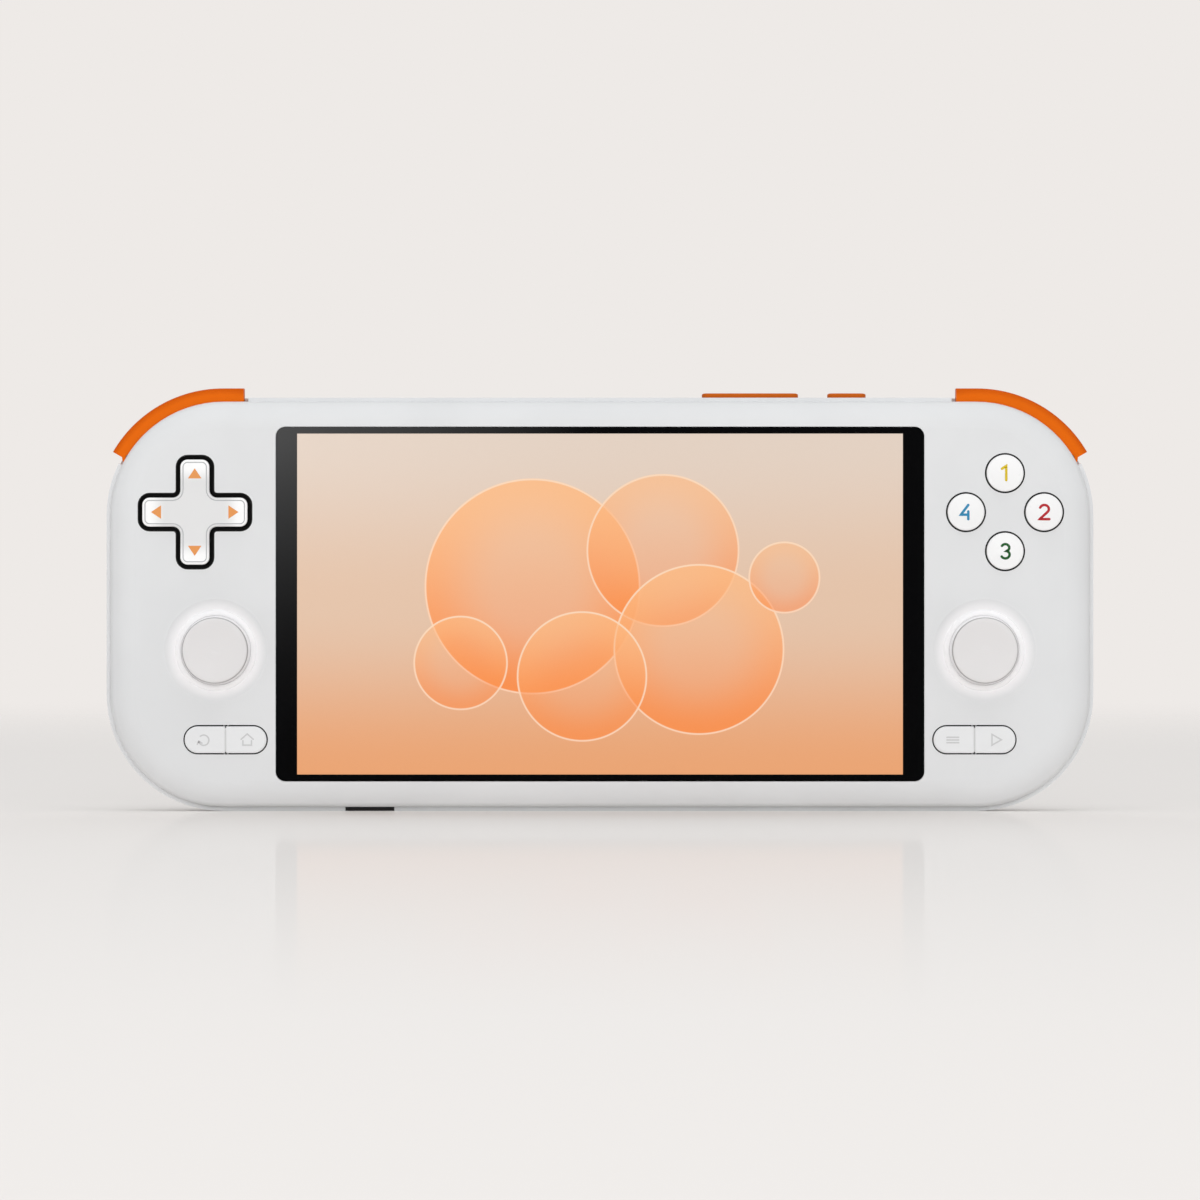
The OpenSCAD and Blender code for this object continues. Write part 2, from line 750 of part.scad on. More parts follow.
module rear_shell() {
    color([0.85, 0.85, 0.85]) facing() difference() {
        union() {
            difference() {
                union() {
                    from_back(body_t) body_slab(0, back_edge_w, back_edge_d, back_edge_r, body_t - split_d);
                    pair() grip_slab(0, body_t + grip_d);
                }
                from_back(back_in_d) body_slab(wall, back_in_edge_w, back_in_edge_d, back_in_edge_r,
                    back_in_d - split_d + cut);
                pair() grip_slab(wall, body_t + grip_d - wall);
            }
            rear_posts();
        }
        pair() {
            rear_bay();
            trigger_cut();
            slice(bumper_back - cut, bumper_back + air + pin_hold - 0.4)
                disc_at([knuckle_x, knuckle_z], bumper_pin_r + running / 2);
            sideways(trigger_left - air - ear_t - cut, trigger_right + air + ear_t + cut)
                disc_at([trigger_d, trigger_z], trigger_pin_r + running / 2);
        }
        for (p = CASE_SPOTS) {
            slice(case_boss_d - cut, body_t + cut) disc_at(p, case_screw_r + 0.25);
            slice(body_t - case_head_t - 0.3, body_t + cut) disc_at(p, case_head_r + 0.2);
        }
        for (p = PORT_SPOTS) slice(port_back, back_in_d - 0.2) disc_at(p, board_pilot_r);
        rear_vents();
        port_cuts();
        top_cuts();
    }
}

// Screen and frame

module cover_glass() {
    color([0.03, 0.03, 0.035]) facing() slice(0, glass_t)
        translate([0, screen_z]) round_rect(glass_w, glass_h, glass_r);
}

module display_panel() {
    color([0.9, 0.6, 0.4]) facing() slice(glass_t, glass_t + panel_t) translate([0, screen_z])
        round_rect(panel_w, panel_h, glass_r * 0.4);
}

module mid_frame() {
    color([0.55, 0.56, 0.58]) facing() difference() {
        union() {
            slice(frame_d, frame_back) translate([0, screen_z]) round_rect(frame_w, frame_h, 3);
            slice(frame_d, board_d) for (p = MAIN_SPOTS) disc_at(p, board_boss_r);
            slice(frame_d, fan_front) for (sx = [-1, 1], sz = [-1, 1])
                disc_at([fan_x + sx * fan_boss_at, fan_z + sz * fan_boss_at], board_boss_r);
        }
        for (p = FRAME_SPOTS) slice(frame_d - cut, frame_back + cut) disc_at(p, frame_pilot_r + 0.15);
        for (p = MAIN_SPOTS) slice(frame_back + 0.4, board_d + cut) disc_at(p, board_pilot_r);
    }
}

// Boards and large parts inside

module main_board() {
    color([0.06, 0.25, 0.16]) facing() {
        difference() {
            block([board_left, board_low_z, board_d], [board_right, board_high_z, board_back]);
            for (p = MAIN_SPOTS) slice(board_d - cut, board_back + cut) disc_at(p, board_pilot_r + 0.15);
        }
        for (c = CHIPS) block([c[0], c[1], board_back], [c[0] + c[2], c[1] + c[3], board_back + c[4]]);
    }
}

module battery_pack() {
    color([0.12, 0.12, 0.13]) facing() translate([0, (battery_z + battery_top) / 2, 0])
        slice(frame_back, battery_back) round_rect(battery_w, battery_top - battery_z, 1.5);
}

module heat_sink() {
    fin_low = fan_z + fan_size / 2 + 0.4;
    fin_top = top_in - 1;
    plate_top = top_in - back_in_edge_d - seat;
    color([0.72, 0.45, 0.3]) facing() {
        block([sink_left, fin_low, sink_d], [sink_foot_x, plate_top, sink_back]);
        block([sink_foot_x - sink_bridge, sink_foot_low, sink_d], [sink_foot_x, fin_low, sink_back]);
        block([sink_foot_x, sink_foot_low, board_back + chip_t],
            [sink_foot_x + sink_foot_w, sink_foot_top, sink_back]);
        for (k = [0:12]) translate([sink_left + air + k * fin_pitch, 0, 0])
            block([0, fin_low, fan_front + 1], [fin_t, fin_top, sink_d]);
    }
}

module fan_housing() {
    color([0.1, 0.1, 0.11]) facing() difference() {
        slice(fan_front, fan_back) translate([fan_x, fan_z]) round_rect(fan_size, fan_size, 2);
        slice(fan_front + 0.8, fan_back - 0.8) {
            disc_at([fan_x, fan_z], fan_hole_r);
            translate([fan_x - fan_hole_r, fan_z]) square([2 * fan_hole_r, fan_size]);
        }
        slice(fan_back - cut, fan_back + cut) disc_at([fan_x, fan_z], fan_hole_r - 1.5);
        slice(fan_front - cut, fan_front + cut) disc_at([fan_x, fan_z], 1 + running);
    }
}

module fan_rotor() {
    rotor_front = fan_front + 1.2;
    rotor_back = fan_back - 1.2;
    color([0.16, 0.16, 0.17]) facing() translate([fan_x, fan_z, 0]) {
        slice(fan_front + 0.1, rotor_front) circle(r = 1);
        slice(rotor_front, rotor_back) circle(r = rotor_hub_r);
        for (k = [0:14]) rotate(24 * k) block([rotor_hub_r - 0.5, -0.3, rotor_front + 0.3],
            [rotor_r, 0.3, rotor_back - 0.3]);
    }
}

module speaker_box() {
    color([0.09, 0.09, 0.1]) facing() difference() {
        block([-speaker_x - speaker_w / 2, speaker_z, split_d + 1.2],
            [-speaker_x + speaker_w / 2, speaker_z + speaker_h, back_in_d - back_in_edge_d]);
        upright(speaker_z - cut, speaker_z + 1)
            translate([-speaker_x, top_key_d]) round_rect(speaker_w - 2, 4.4, 1);
    }
}

module left_speaker() {
    speaker_box();
}

module right_speaker() {
    twin() speaker_box();
}

module port_board() {
    color([0.06, 0.25, 0.16]) facing() difference() {
        block([jack_x - 8, port_low + 2.4, port_back],
            [usb_x + 9.2, port_low + jack_l, port_back + port_board_t]);
        for (p = PORT_SPOTS) slice(port_back - cut, port_back + port_board_t + cut)
            disc_at(p, board_pilot_r + 0.15);
    }
}

module usb_port() {
    color([0.75, 0.76, 0.78]) facing() translate([usb_x, 0, 0]) {
        upright(port_low, port_low + usb_l) translate([0, port_d]) difference() {
            round_rect(usb_w, usb_t, usb_t / 2 - 0.01);
            round_rect(usb_w - 2 * usb_skin, usb_t - 2 * usb_skin, usb_t / 2 - usb_skin - 0.01);
        }
        upright(port_low + usb_l - 0.8, port_low + usb_l) translate([0, port_d])
            round_rect(usb_w - usb_skin, usb_t - usb_skin, usb_t / 2 - usb_skin);
        upright(port_low + 1, port_low + usb_l) translate([0, port_d]) square([6.2, 0.7], center = true);
    }
}

module headphone_jack() {
    color([0.1, 0.1, 0.11]) facing() difference() {
        union() {
            upright(port_low, port_low + jack_nose) translate([jack_x, port_d]) circle(r = jack_out_r);
            block([jack_x - jack_w / 2, wall + 0.4, port_d - 2.4],
                [jack_x + jack_w / 2, port_low + jack_l + 1, port_back]);
        }
        upright(port_low - cut, port_low + jack_l) translate([jack_x, port_d]) circle(r = jack_r);
    }
}

module card_reader() {
    color([0.7, 0.71, 0.73]) facing() difference() {
        block([card_x - card_w / 2 - 0.6, wall + rim_step + 0.2, reader_d],
            [card_x + card_w / 2 + 0.6, battery_z - 0.6, reader_d + reader_t]);
        block([card_x - card_w / 2, wall, reader_d + 0.4],
            [card_x + card_w / 2, battery_z - 1.6, reader_d + reader_t - 0.4]);
    }
}

// One wing board with its stick and screw holes, left side
module wing_board() {
    color([0.06, 0.25, 0.16]) facing() difference() {
        slice(board_d, board_back) intersection() {
            body_outline(front_in + 1.2);
            translate([-board_out, board_low]) square([board_out - board_in, board_top - board_low]);
        }
        slice(board_d - cut, board_back + cut) {
            translate([-stick_x, stick_z]) square(base_w + 2 * seat, center = true);
            for (p = WING_SPOTS) disc_at([-p[0], p[1]], board_pilot_r + 0.15);
        }
    }
}

module left_board() {
    wing_board();
}

module right_board() {
    twin() wing_board();
}

// Sticks, left side

module stick_at() {
    facing() translate([-stick_x, stick_z, 0]) children();
}

module stick_base() {
    color([0.12, 0.12, 0.13]) stick_at() difference() {
        union() {
            slice(board_back, board_back + base_flange_t)
                round_rect(base_flange_w, base_flange_w, base_corner);
            slice(board_d, base_end) square(base_w, center = true);
        }
        slice(board_d - cut, base_end - base_wall) square(base_w - 2 * base_wall, center = true);
    }
}

module stick_carrier() {
    color([0.8, 0.8, 0.82]) stick_at() difference() {
        union() {
            slice(carrier_end - carrier_t, carrier_end) square(carrier_w, center = true);
            for (s = [-1, 1]) slice(post_top, carrier_end) translate([s * (post_out - post_t / 2), 0])
                square([post_t, 3.2], center = true);
        }
        sideways(-carrier_w, carrier_w) disc_at([pivot_d, 0], gimbal_pin_r + running);
    }
}

module stick_ring() {
    color([0.55, 0.56, 0.58]) stick_at() difference() {
        union() {
            slice(pivot_d - ring_h / 2, pivot_d + ring_h / 2) circle(r = ring_r);
            sideways(-post_out + 0.1, post_out - 0.1) disc_at([pivot_d, 0], gimbal_pin_r);
        }
        slice(pivot_d - ring_h, pivot_d + ring_h) circle(r = ring_r - ring_wall);
        upright(-ring_r - cut, ring_r + cut) disc_at([0, pivot_d], gimbal_pin_r + running);
    }
}

module stick_shaft() {
    color([0.8, 0.8, 0.82]) stick_at() {
        translate([0, 0, pivot_d]) sphere(r = hub_r);
        upright(-ring_r + 0.3, ring_r - 0.3) disc_at([0, pivot_d], gimbal_pin_r);
        slice(cap_under - 1, pivot_d) circle(r = rod_r);
    }
}

module stick_dome() {
    top = cap_under + 0.1;
    top_r = sqrt(pow(dome_r, 2) - pow(pivot_d - top, 2));
    color([0.95, 0.95, 0.95]) stick_at() rotate_extrude() {
        intersection() {
            difference() {
                translate([0, pivot_d]) circle(r = dome_r);
                translate([0, pivot_d]) circle(r = dome_r - dome_t);
            }
            translate([0, pivot_d]) polygon([[0, 0], 2 * dome_r * [sin(dome_rim), -cos(dome_rim)],
                [2 * dome_r, -2 * dome_r], [2 * dome_r, top - pivot_d], [0, top - pivot_d]]);
        }
        translate([rod_r + running, top]) square([top_r - rod_r - dome_t, dome_t]);
    }
}

module stick_cap() {
    edge = 0.6;
    hollow = 45;
    rim = cap_r - 1.1;
    sag = hollow - sqrt(hollow * hollow - rim * rim);
    color([0.86, 0.86, 0.86]) stick_at() rotate_extrude() difference() {
        translate([0, -stick_proud]) {
            square([cap_r - edge, cap_t]);
            translate([0, edge]) square([cap_r, cap_t - 2 * edge]);
            for (k = [edge, cap_t - edge]) translate([cap_r - edge, k]) circle(r = edge);
        }
        translate([-2 * cap_r, -2 * cap_r]) square([2 * cap_r, 4 * cap_r]);
        translate([0, -stick_proud + sag - hollow]) circle(r = hollow);
        translate([-cut, cap_under - 1 - running]) square([cut + rod_r + running, 1 + cut]);
    }
}

module left_stick_base() {
    stick_base();
}

module left_stick_carrier() {
    stick_carrier();
}

module left_stick_ring() {
    stick_ring();
}

module left_stick_shaft() {
    stick_shaft();
}

module left_stick_dome() {
    stick_dome();
}

module left_stick_cap() {
    stick_cap();
}

module right_stick_base() {
    twin() stick_base();
}

module right_stick_carrier() {
    twin() stick_carrier();
}

module right_stick_ring() {
    twin() stick_ring();
}

module right_stick_shaft() {
    twin() stick_shaft();
}

module right_stick_dome() {
    twin() stick_dome();
}

module right_stick_cap() {
    twin() stick_cap();
}

module stick_switches() {
    floor_d = base_end - base_wall;
    color([0.75, 0.76, 0.78]) pair() stick_at()
        slice(carrier_end + click_travel + 0.05, floor_d) circle(r = 2.4);
}

// Direction pad

module pad_at() {
    facing() translate([-upper_x, upper_z, 0]) children();
}

module pad_cap() {
    edge = 0.7;
    color([0.92, 0.92, 0.92]) pad_at() {
        for (a = [0, 90]) rotate(a) translate([0, -pad_arm / 2, -pad_proud])
            soft_slab(pad_l, pad_arm, pad_corner, pad_corner, edge + 0.1, edge - 0.1, edge * 0.6,
                pad_flange_d + pad_proud + pad_flange_t / 2);
        for (k = [0:3]) rotate(90 * k) slice(edge / 3 - pad_proud, pad_under)
            inner_corner(pad_arm - 2 * seat, pad_fillet + pad_gap + seat);
        difference() {
            union() {
                slice(pad_flange_d, pad_under)
                    cross(pad_flange_l, pad_flange_arm, pad_corner, pad_fillet);
                slice(pad_flange_d, ball_d) circle(r = pad_hub_r);
            }
            translate([0, 0, ball_d]) sphere(r = ball_r + running);
        }
        for (k = [0:3]) rotate(90 * k) slice(pad_flange_d, pad_under + pad_plunger_l)
            disc_at([pad_plunger_at, 0], pad_plunger_r);
    }
}

module pad_ball() {
    color([0.75, 0.76, 0.78]) pad_at() translate([0, 0, ball_d]) sphere(r = ball_r);
}

module pad_post() {
    color([0.2, 0.2, 0.21]) pad_at() difference() {
        slice(ball_d + 0.8, board_d) circle(r = 2);
        translate([0, 0, ball_d]) sphere(r = ball_r + running);
    }
}

module pad_membrane() {
    color([0.3, 0.3, 0.31]) pad_at() difference() {
        union() {
            slice(board_d - membrane_t, board_d) circle(r = pad_plunger_at + 2.4);
            for (k = [0:3]) rotate(90 * k) translate([pad_plunger_at, 0, pad_tip_d])
                cylinder(r1 = 1.5, r2 = 2.2, h = board_d - pad_tip_d);
        }
        slice(pad_tip_d - cut, board_d + cut) circle(r = 2.3);
        for (p = WING_SPOTS) slice(pad_tip_d - cut, board_d + cut)
            disc_at([upper_x - p[0], p[1] - upper_z], board_boss_r + air);
    }
}

// Face buttons

module face_button(a) {
    crown = 16;
    edge = 0.5;
    sag = crown - sqrt(crown * crown - pow(button_r - edge, 2));
    skirt = button_flange_d + button_proud - sag - edge;
    color([0.96, 0.96, 0.96]) facing()
        translate([upper_x, upper_z, 0]) rotate(a) translate([button_ring, 0, 0]) rotate_extrude() {
            intersection() {
                translate([0, -button_proud + crown]) circle(r = crown);
                translate([0, -button_proud]) square([button_r - edge, sag]);
            }
            translate([0, -button_proud + sag]) square([button_r - edge, edge]);
            translate([0, -button_proud + sag + edge]) square([button_r, skirt]);
            intersection() {
                translate([button_r - edge, -button_proud + sag + edge]) circle(r = edge);
                translate([button_r - edge, -button_proud + sag]) square(edge);
            }
            translate([0, button_flange_d]) square([button_flange_r, button_flange_t]);
            translate([0, button_flange_d]) square([button_stem_r, button_tip_d - button_flange_d]);
        }
}

module button_right() {
    face_button(0);
}

module button_top() {
    face_button(90);
}

module button_left() {
    face_button(180);
}

module button_bottom() {
    face_button(270);
}

module button_membrane() {
    tip = button_tip_d + button_travel + 0.05;
    color([0.3, 0.3, 0.31]) facing() translate([upper_x, upper_z, 0]) difference() {
        union() {
            slice(board_d - membrane_t, board_d) circle(r = button_ring + 2.6);
            for (k = [0:3]) rotate(90 * k) translate([button_ring, 0, tip])
                cylinder(r1 = 1.7, r2 = 2.4, h = board_d - tip);
        }
        for (p = WING_SPOTS) slice(tip - cut, board_d + cut)
            disc_at([p[0] - upper_x, p[1] - upper_z], board_boss_r + air);
    }
}

// Menu keys on the left wing: the outer half of a pair has side -1, the inner half has side 1
module menu_key(side) {
    edge = 0.5;
    end_r = menu_w / 2 - 0.02;
    color([0.9, 0.9, 0.9]) facing() translate([-menu_x, menu_z, 0]) {
        intersection() {
            union() {
                translate([0, -menu_w / 2, -menu_proud]) soft_slab(menu_l, menu_w, end_r, end_r,
                    edge + 0.1, edge - 0.1, edge * 0.6, wall + seat + menu_proud + menu_flange_t / 2);
                slice(wall + seat, wall + seat + menu_flange_t)
                    pill(menu_l + 2 * menu_flange, menu_w + 2 * menu_flange);
            }
            slice(-menu_proud - cut, menu_tip_d)
                translate([side * (menu_l + menu_split) / 2, 0]) square(menu_l, center = true);
        }
        slice(wall + seat, menu_tip_d) disc_at([side * menu_l / 4, 0], menu_stem_r);
    }
}

module return_key() {
    menu_key(-1);
}

module home_key() {
    menu_key(1);
}

module start_key() {
    twin() menu_key(-1);
}

module option_key() {
    twin() menu_key(1);
}

module menu_switches() {
    top = menu_tip_d + menu_travel + 0.05;
    color([0.75, 0.76, 0.78]) pair() facing() for (s = [-1, 1])
        translate([-menu_x + s * menu_l / 4, menu_z, board_d]) mirror([0, 0, 1])
            press_switch(3.4, (board_d - top) * 0.65, (board_d - top) * 0.35);
}

// Top keys

module top_key(x, l, flange_z, stems) {
    edge = 0.5;
    end_r = top_key_w / 2 - 0.02;
    color([0.74, 0.42, 0.21]) facing() translate([x, 0, 0]) {
        translate([0, top_z + top_key_proud, top_key_d - top_key_w / 2]) rotate([90, 0, 0])
            soft_slab(l, top_key_w, end_r, end_r, edge + 0.1, edge - 0.1, edge * 0.6,
                top_z + top_key_proud - flange_z + top_flange_t / 2);
        upright(flange_z - top_flange_t, flange_z) translate([0, top_key_d])
            pill(l + 2 * (key_gap + top_flange), top_key_w + 2 * (key_gap + top_flange));
        for (s = stems) upright(flange_z - top_flange_t - top_stem_l, flange_z)
            disc_at([s, top_key_d], top_stem_r);
    }
}

module volume_rocker() {
    top_key(volume_x, volume_l, volume_flange_z, [-volume_stem_at, volume_stem_at]);
    color([0.74, 0.42, 0.21]) facing() slice(top_key_d - top_key_w / 2, top_key_d + top_key_w / 2)
        disc_at([volume_x, volume_flange_z - top_flange_t / 2], rocker_bead_r);
}

module power_key() {
    top_key(power_x, power_l, power_flange_z, [0]);
}

module top_key_board() {
    color([0.06, 0.25, 0.16]) facing()
        block([volume_x - volume_l / 2 - 1, top_board_z, top_key_d - top_board_w / 2],
        [power_x + power_l / 2 + 1, top_board_z + top_board_t, top_key_d + top_board_w / 2]);
}

module top_switches() {
    low = top_board_z + top_board_t;
    stem_dip = (volume_stem_at + top_stem_r) * sin(volume_swing);
    volume_top = volume_flange_z - top_flange_t - top_stem_l - stem_dip - 0.05;
    power_top = power_flange_z - top_flange_t - top_stem_l - power_travel - 0.05;
    color([0.75, 0.76, 0.78]) facing() {
        for (s = [-1, 1]) translate([volume_x + s * volume_stem_at, low, top_key_d]) rotate([-90, 0, 0])
            press_switch(3, switch_h, volume_top - low - switch_h);
        translate([power_x, low, top_key_d]) rotate([-90, 0, 0])
            press_switch(3, switch_h, power_top - low - switch_h);
    }
}

// Bumpers, left side

module bumper_section() {
    translate([bumper_in_r + bumper_t / 2, (bumper_d + bumper_back) / 2])
        round_rect(bumper_t, bumper_depth, bumper_soft);
}

module bumper() {
    color([0.91, 0.43, 0.08]) facing() difference() {
        union() {
            translate([bumper_x, bumper_z, 0]) {
                rotate([0, 0, 90]) rotate_extrude(angle = bumper_arc) bumper_section();
                rotate([90, 0, 90]) linear_extrude(height = bumper_end) bumper_section();
            }
            slice(bumper_d, bumper_back) disc_at([knuckle_x, knuckle_z], knuckle_r);
            block([lug_x - lug_w / 2, lug_z, lug_front],
                [lug_x + lug_w / 2, bumper_z + bumper_in_r + 1.2, lug_back]);
        }
        slice(bumper_d - cut, bumper_back + cut) disc_at([knuckle_x, knuckle_z], bumper_pin_r + running);
    }
}

module left_bumper() {
    bumper();
}

module right_bumper() {
    twin() bumper();
}

module bumper_pins() {
    color([0.75, 0.76, 0.78]) pair() facing() slice(bumper_d + 0.2, bumper_back + air + pin_hold - 0.5)
        disc_at([knuckle_x, knuckle_z], bumper_pin_r);
}

module bumper_switches() {
    high = lug_z - lug_drop;
    color([0.75, 0.76, 0.78]) pair() facing()
        translate([lug_x, bumper_shelf_z, bumper_switch_d]) rotate([-90, 0, 0])
        press_switch(3, switch_h, high - bumper_shelf_z - switch_h);
}

// Triggers, left side

module trigger() {
    foot = sqrt(tip_back * tip_back - trigger_tip_r * trigger_tip_r);
    low = [cos(trigger_low), sin(trigger_low)];
    tip = [cos(tip_angle), sin(tip_angle)];
    half_way = (trigger_low + tip_angle) / 2;
    color([0.9, 0.9, 0.9]) facing() difference() {
        sideways(trigger_left, trigger_right) translate([trigger_d, trigger_z]) {
            circle(r = trigger_hub_r);
            intersection() {
                circle(r = trigger_r);
                polygon([[0, 0], 2 * trigger_r * low,
                    3 * trigger_r * [cos(half_way), sin(half_way)], 2 * trigger_r * tip]);
            }
            translate(tip_back * tip) circle(r = trigger_tip_r);
            polygon([[0, 0], tip_back * tip, foot * [cos(trigger_high), sin(trigger_high)]]);
        }
        sideways(trigger_left - cut, trigger_right + cut)
            disc_at([trigger_d, trigger_z], trigger_pin_r + running);
    }
}

module left_trigger() {
    trigger();
}

module right_trigger() {
    twin() trigger();
}

module trigger_pins() {
    color([0.75, 0.76, 0.78]) pair() facing()
        sideways(trigger_left - air - ear_t, trigger_right + air + ear_t)
        disc_at([trigger_d, trigger_z], trigger_pin_r);
}

// Screws

module screw(head_r, head_t, shank_r, shank_l) {
    difference() {
        union() {
            translate([0, 0, -head_t]) cylinder(r = head_r, h = head_t);
            cylinder(r = shank_r, h = shank_l);
        }
        translate([0, 0, -head_t - cut]) cylinder(r = head_r * 0.42, h = head_t * 0.55 + cut, $fn = 6);
    }
}

module case_screws() {
    under = body_t - case_head_t - 0.3;
    color([0.25, 0.25, 0.26]) facing() for (p = CASE_SPOTS)
        translate([p[0], p[1], under]) mirror([0, 0, 1])
        screw(case_head_r, case_head_t, case_screw_r, under - case_boss_d + 4);
}

module frame_screws() {
    color([0.25, 0.25, 0.26]) facing() for (p = FRAME_SPOTS)
        translate([p[0], p[1], frame_back]) mirror([0, 0, 1])
        screw(1.1, 0.6, frame_pilot_r - screw_in, frame_back - wall - 0.2);
}

module board_screws() {
    length = 3;
    color([0.25, 0.25, 0.26]) facing() {
        for (p = MAIN_SPOTS) translate([p[0], p[1], board_back]) mirror([0, 0, 1])
            screw(1.3, 0.7, board_pilot_r - screw_in, length);
        for (s = [-1, 1], p = WING_SPOTS) translate([s * p[0], p[1], board_back]) mirror([0, 0, 1])
            screw(1.3, 0.7, board_pilot_r - screw_in, length);
        for (p = PORT_SPOTS) translate([p[0], p[1], port_back])
            screw(1.3, 0.7, board_pilot_r - screw_in, back_in_d - 0.4 - port_back);
    }
}

front_shell();
rear_shell();
mid_frame();
cover_glass();
display_panel();
main_board();
battery_pack();
heat_sink();
fan_housing();
fan_rotor();
left_speaker();
right_speaker();
port_board();
usb_port();
headphone_jack();
card_reader();
left_board();
right_board();
left_stick_base();
left_stick_carrier();
left_stick_ring();
left_stick_shaft();
left_stick_dome();
left_stick_cap();
right_stick_base();
right_stick_carrier();
right_stick_ring();
right_stick_shaft();
right_stick_dome();
right_stick_cap();
stick_switches();
pad_cap();
pad_ball();
pad_post();
pad_membrane();
button_top();
button_right();
button_bottom();
button_left();
button_membrane();
return_key();
home_key();
option_key();
start_key();
menu_switches();
volume_rocker();
power_key();
top_key_board();
top_switches();
left_bumper();
right_bumper();
bumper_pins();
bumper_switches();
left_trigger();
right_trigger();
trigger_pins();
case_screws();
frame_screws();
board_screws();
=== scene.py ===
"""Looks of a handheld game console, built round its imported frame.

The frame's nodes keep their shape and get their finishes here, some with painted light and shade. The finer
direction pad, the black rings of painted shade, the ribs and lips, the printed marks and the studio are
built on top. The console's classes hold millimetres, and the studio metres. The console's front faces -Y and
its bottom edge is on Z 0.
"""
import json
import logging
import math
from dataclasses import dataclass, field
from enum import Enum
from typing import Callable

import bmesh
import bpy
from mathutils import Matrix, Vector


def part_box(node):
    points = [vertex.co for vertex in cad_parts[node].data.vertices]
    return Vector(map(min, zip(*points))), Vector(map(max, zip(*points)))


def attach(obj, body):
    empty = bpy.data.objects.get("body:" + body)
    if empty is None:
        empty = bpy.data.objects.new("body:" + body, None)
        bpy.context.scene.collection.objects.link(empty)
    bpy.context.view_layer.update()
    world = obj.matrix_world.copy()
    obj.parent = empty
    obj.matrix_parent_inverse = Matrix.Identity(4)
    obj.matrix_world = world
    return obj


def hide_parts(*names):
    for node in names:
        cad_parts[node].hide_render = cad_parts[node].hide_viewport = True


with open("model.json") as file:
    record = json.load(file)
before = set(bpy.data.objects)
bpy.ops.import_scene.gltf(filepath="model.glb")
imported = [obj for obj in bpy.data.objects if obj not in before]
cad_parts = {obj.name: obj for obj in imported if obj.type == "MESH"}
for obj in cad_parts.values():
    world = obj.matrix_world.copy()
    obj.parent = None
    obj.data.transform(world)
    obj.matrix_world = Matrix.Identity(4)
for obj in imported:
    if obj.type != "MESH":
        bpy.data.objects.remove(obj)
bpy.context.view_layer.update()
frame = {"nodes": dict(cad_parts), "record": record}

LOG = logging.getLogger("console")
MM = 0.001
FACE_Y = -8.0
# Depth behind the face from which key skirts and wells are painted with shade.
SHADE_FROM_Y = FACE_Y + 0.25

Point = tuple[float, float]
Colour = tuple[float, float, float]
Socket = bpy.types.NodeSocket


def linear(red: float, green: float, blue: float) -> Colour:
    """Turn display values from 0 to 255 into scene-linear colour.

    Args:
        red: Red as shown on a display.
        green: Green as shown on a display.
        blue: Blue as shown on a display.

    Returns:
        The colour for a shader socket.
    """
    def one(value: float) -> float:
        """Undo the display curve for one channel."""
        share = value / 255
        return share / 12.92 if share <= 0.04045 else ((share + 0.055) / 1.055) ** 2.4

    return one(red), one(green), one(blue)


def rgba(colour: Colour) -> tuple[float, float, float, float]:
    """Add full opacity to a colour."""
    return colour[0], colour[1], colour[2], 1.0


def shade(colour: Colour, share: float) -> Colour:
    """Scale a colour, with no channel above one."""
    return tuple(min(1.0, channel * share) for channel in colour)


class Tone(Enum):
    """Colours of the console's parts, as scene-linear values; some of them are painted light and shade, as
    marked.
    """

    SHELL = linear(225, 226, 227)
    MENU_KEY = linear(233, 234, 235)
    KEY = linear(246, 246, 246)
    PAD_MIDDLE = linear(226, 226, 226)
    PAD_END = linear(252, 252, 252)
    CAP = linear(228, 226, 226)
    # Painted shade: the darker rim of each stick cap, where its edge turns from the light.
    CAP_RIM = linear(178, 176, 177)
    DOME = linear(252, 251, 252)
    # Painted light: the brighter dish round each stick, lighter than its slope is lit.
    HALO = linear(250, 249, 250)
    # Painted shade: the grey of the rib in the slot between menu keys stands in for the shade there.
    RIB = linear(216, 216, 216)
    # Painted shade: the grey in the groove round the pad's face.
    GROOVE = linear(192, 193, 195)
    ORANGE = linear(231, 106, 3)
    # Painted shade: the darker outer band of the bumpers, where the surface curves away.
    ORANGE_EDGE = linear(203, 85, 0)
    TOP_ORANGE = linear(197, 94, 22)
    ARROW = linear(231, 152, 82)
    # Painted shade in the gaps round the keys, below the key faces, in the card slot and on the black rings;
    # also the own colour of the membrane inside.
    WELL = linear(14, 14, 15)
    BLACK = linear(10, 10, 11)
    GREY_INK = linear(205, 205, 206)
    YELLOW_INK = linear(214, 186, 26)
    BLUE_INK = linear(34, 134, 178)
    RED_INK = linear(178, 22, 36)
    GREEN_INK = linear(6, 84, 26)
    BACKDROP = linear(238, 234, 231)


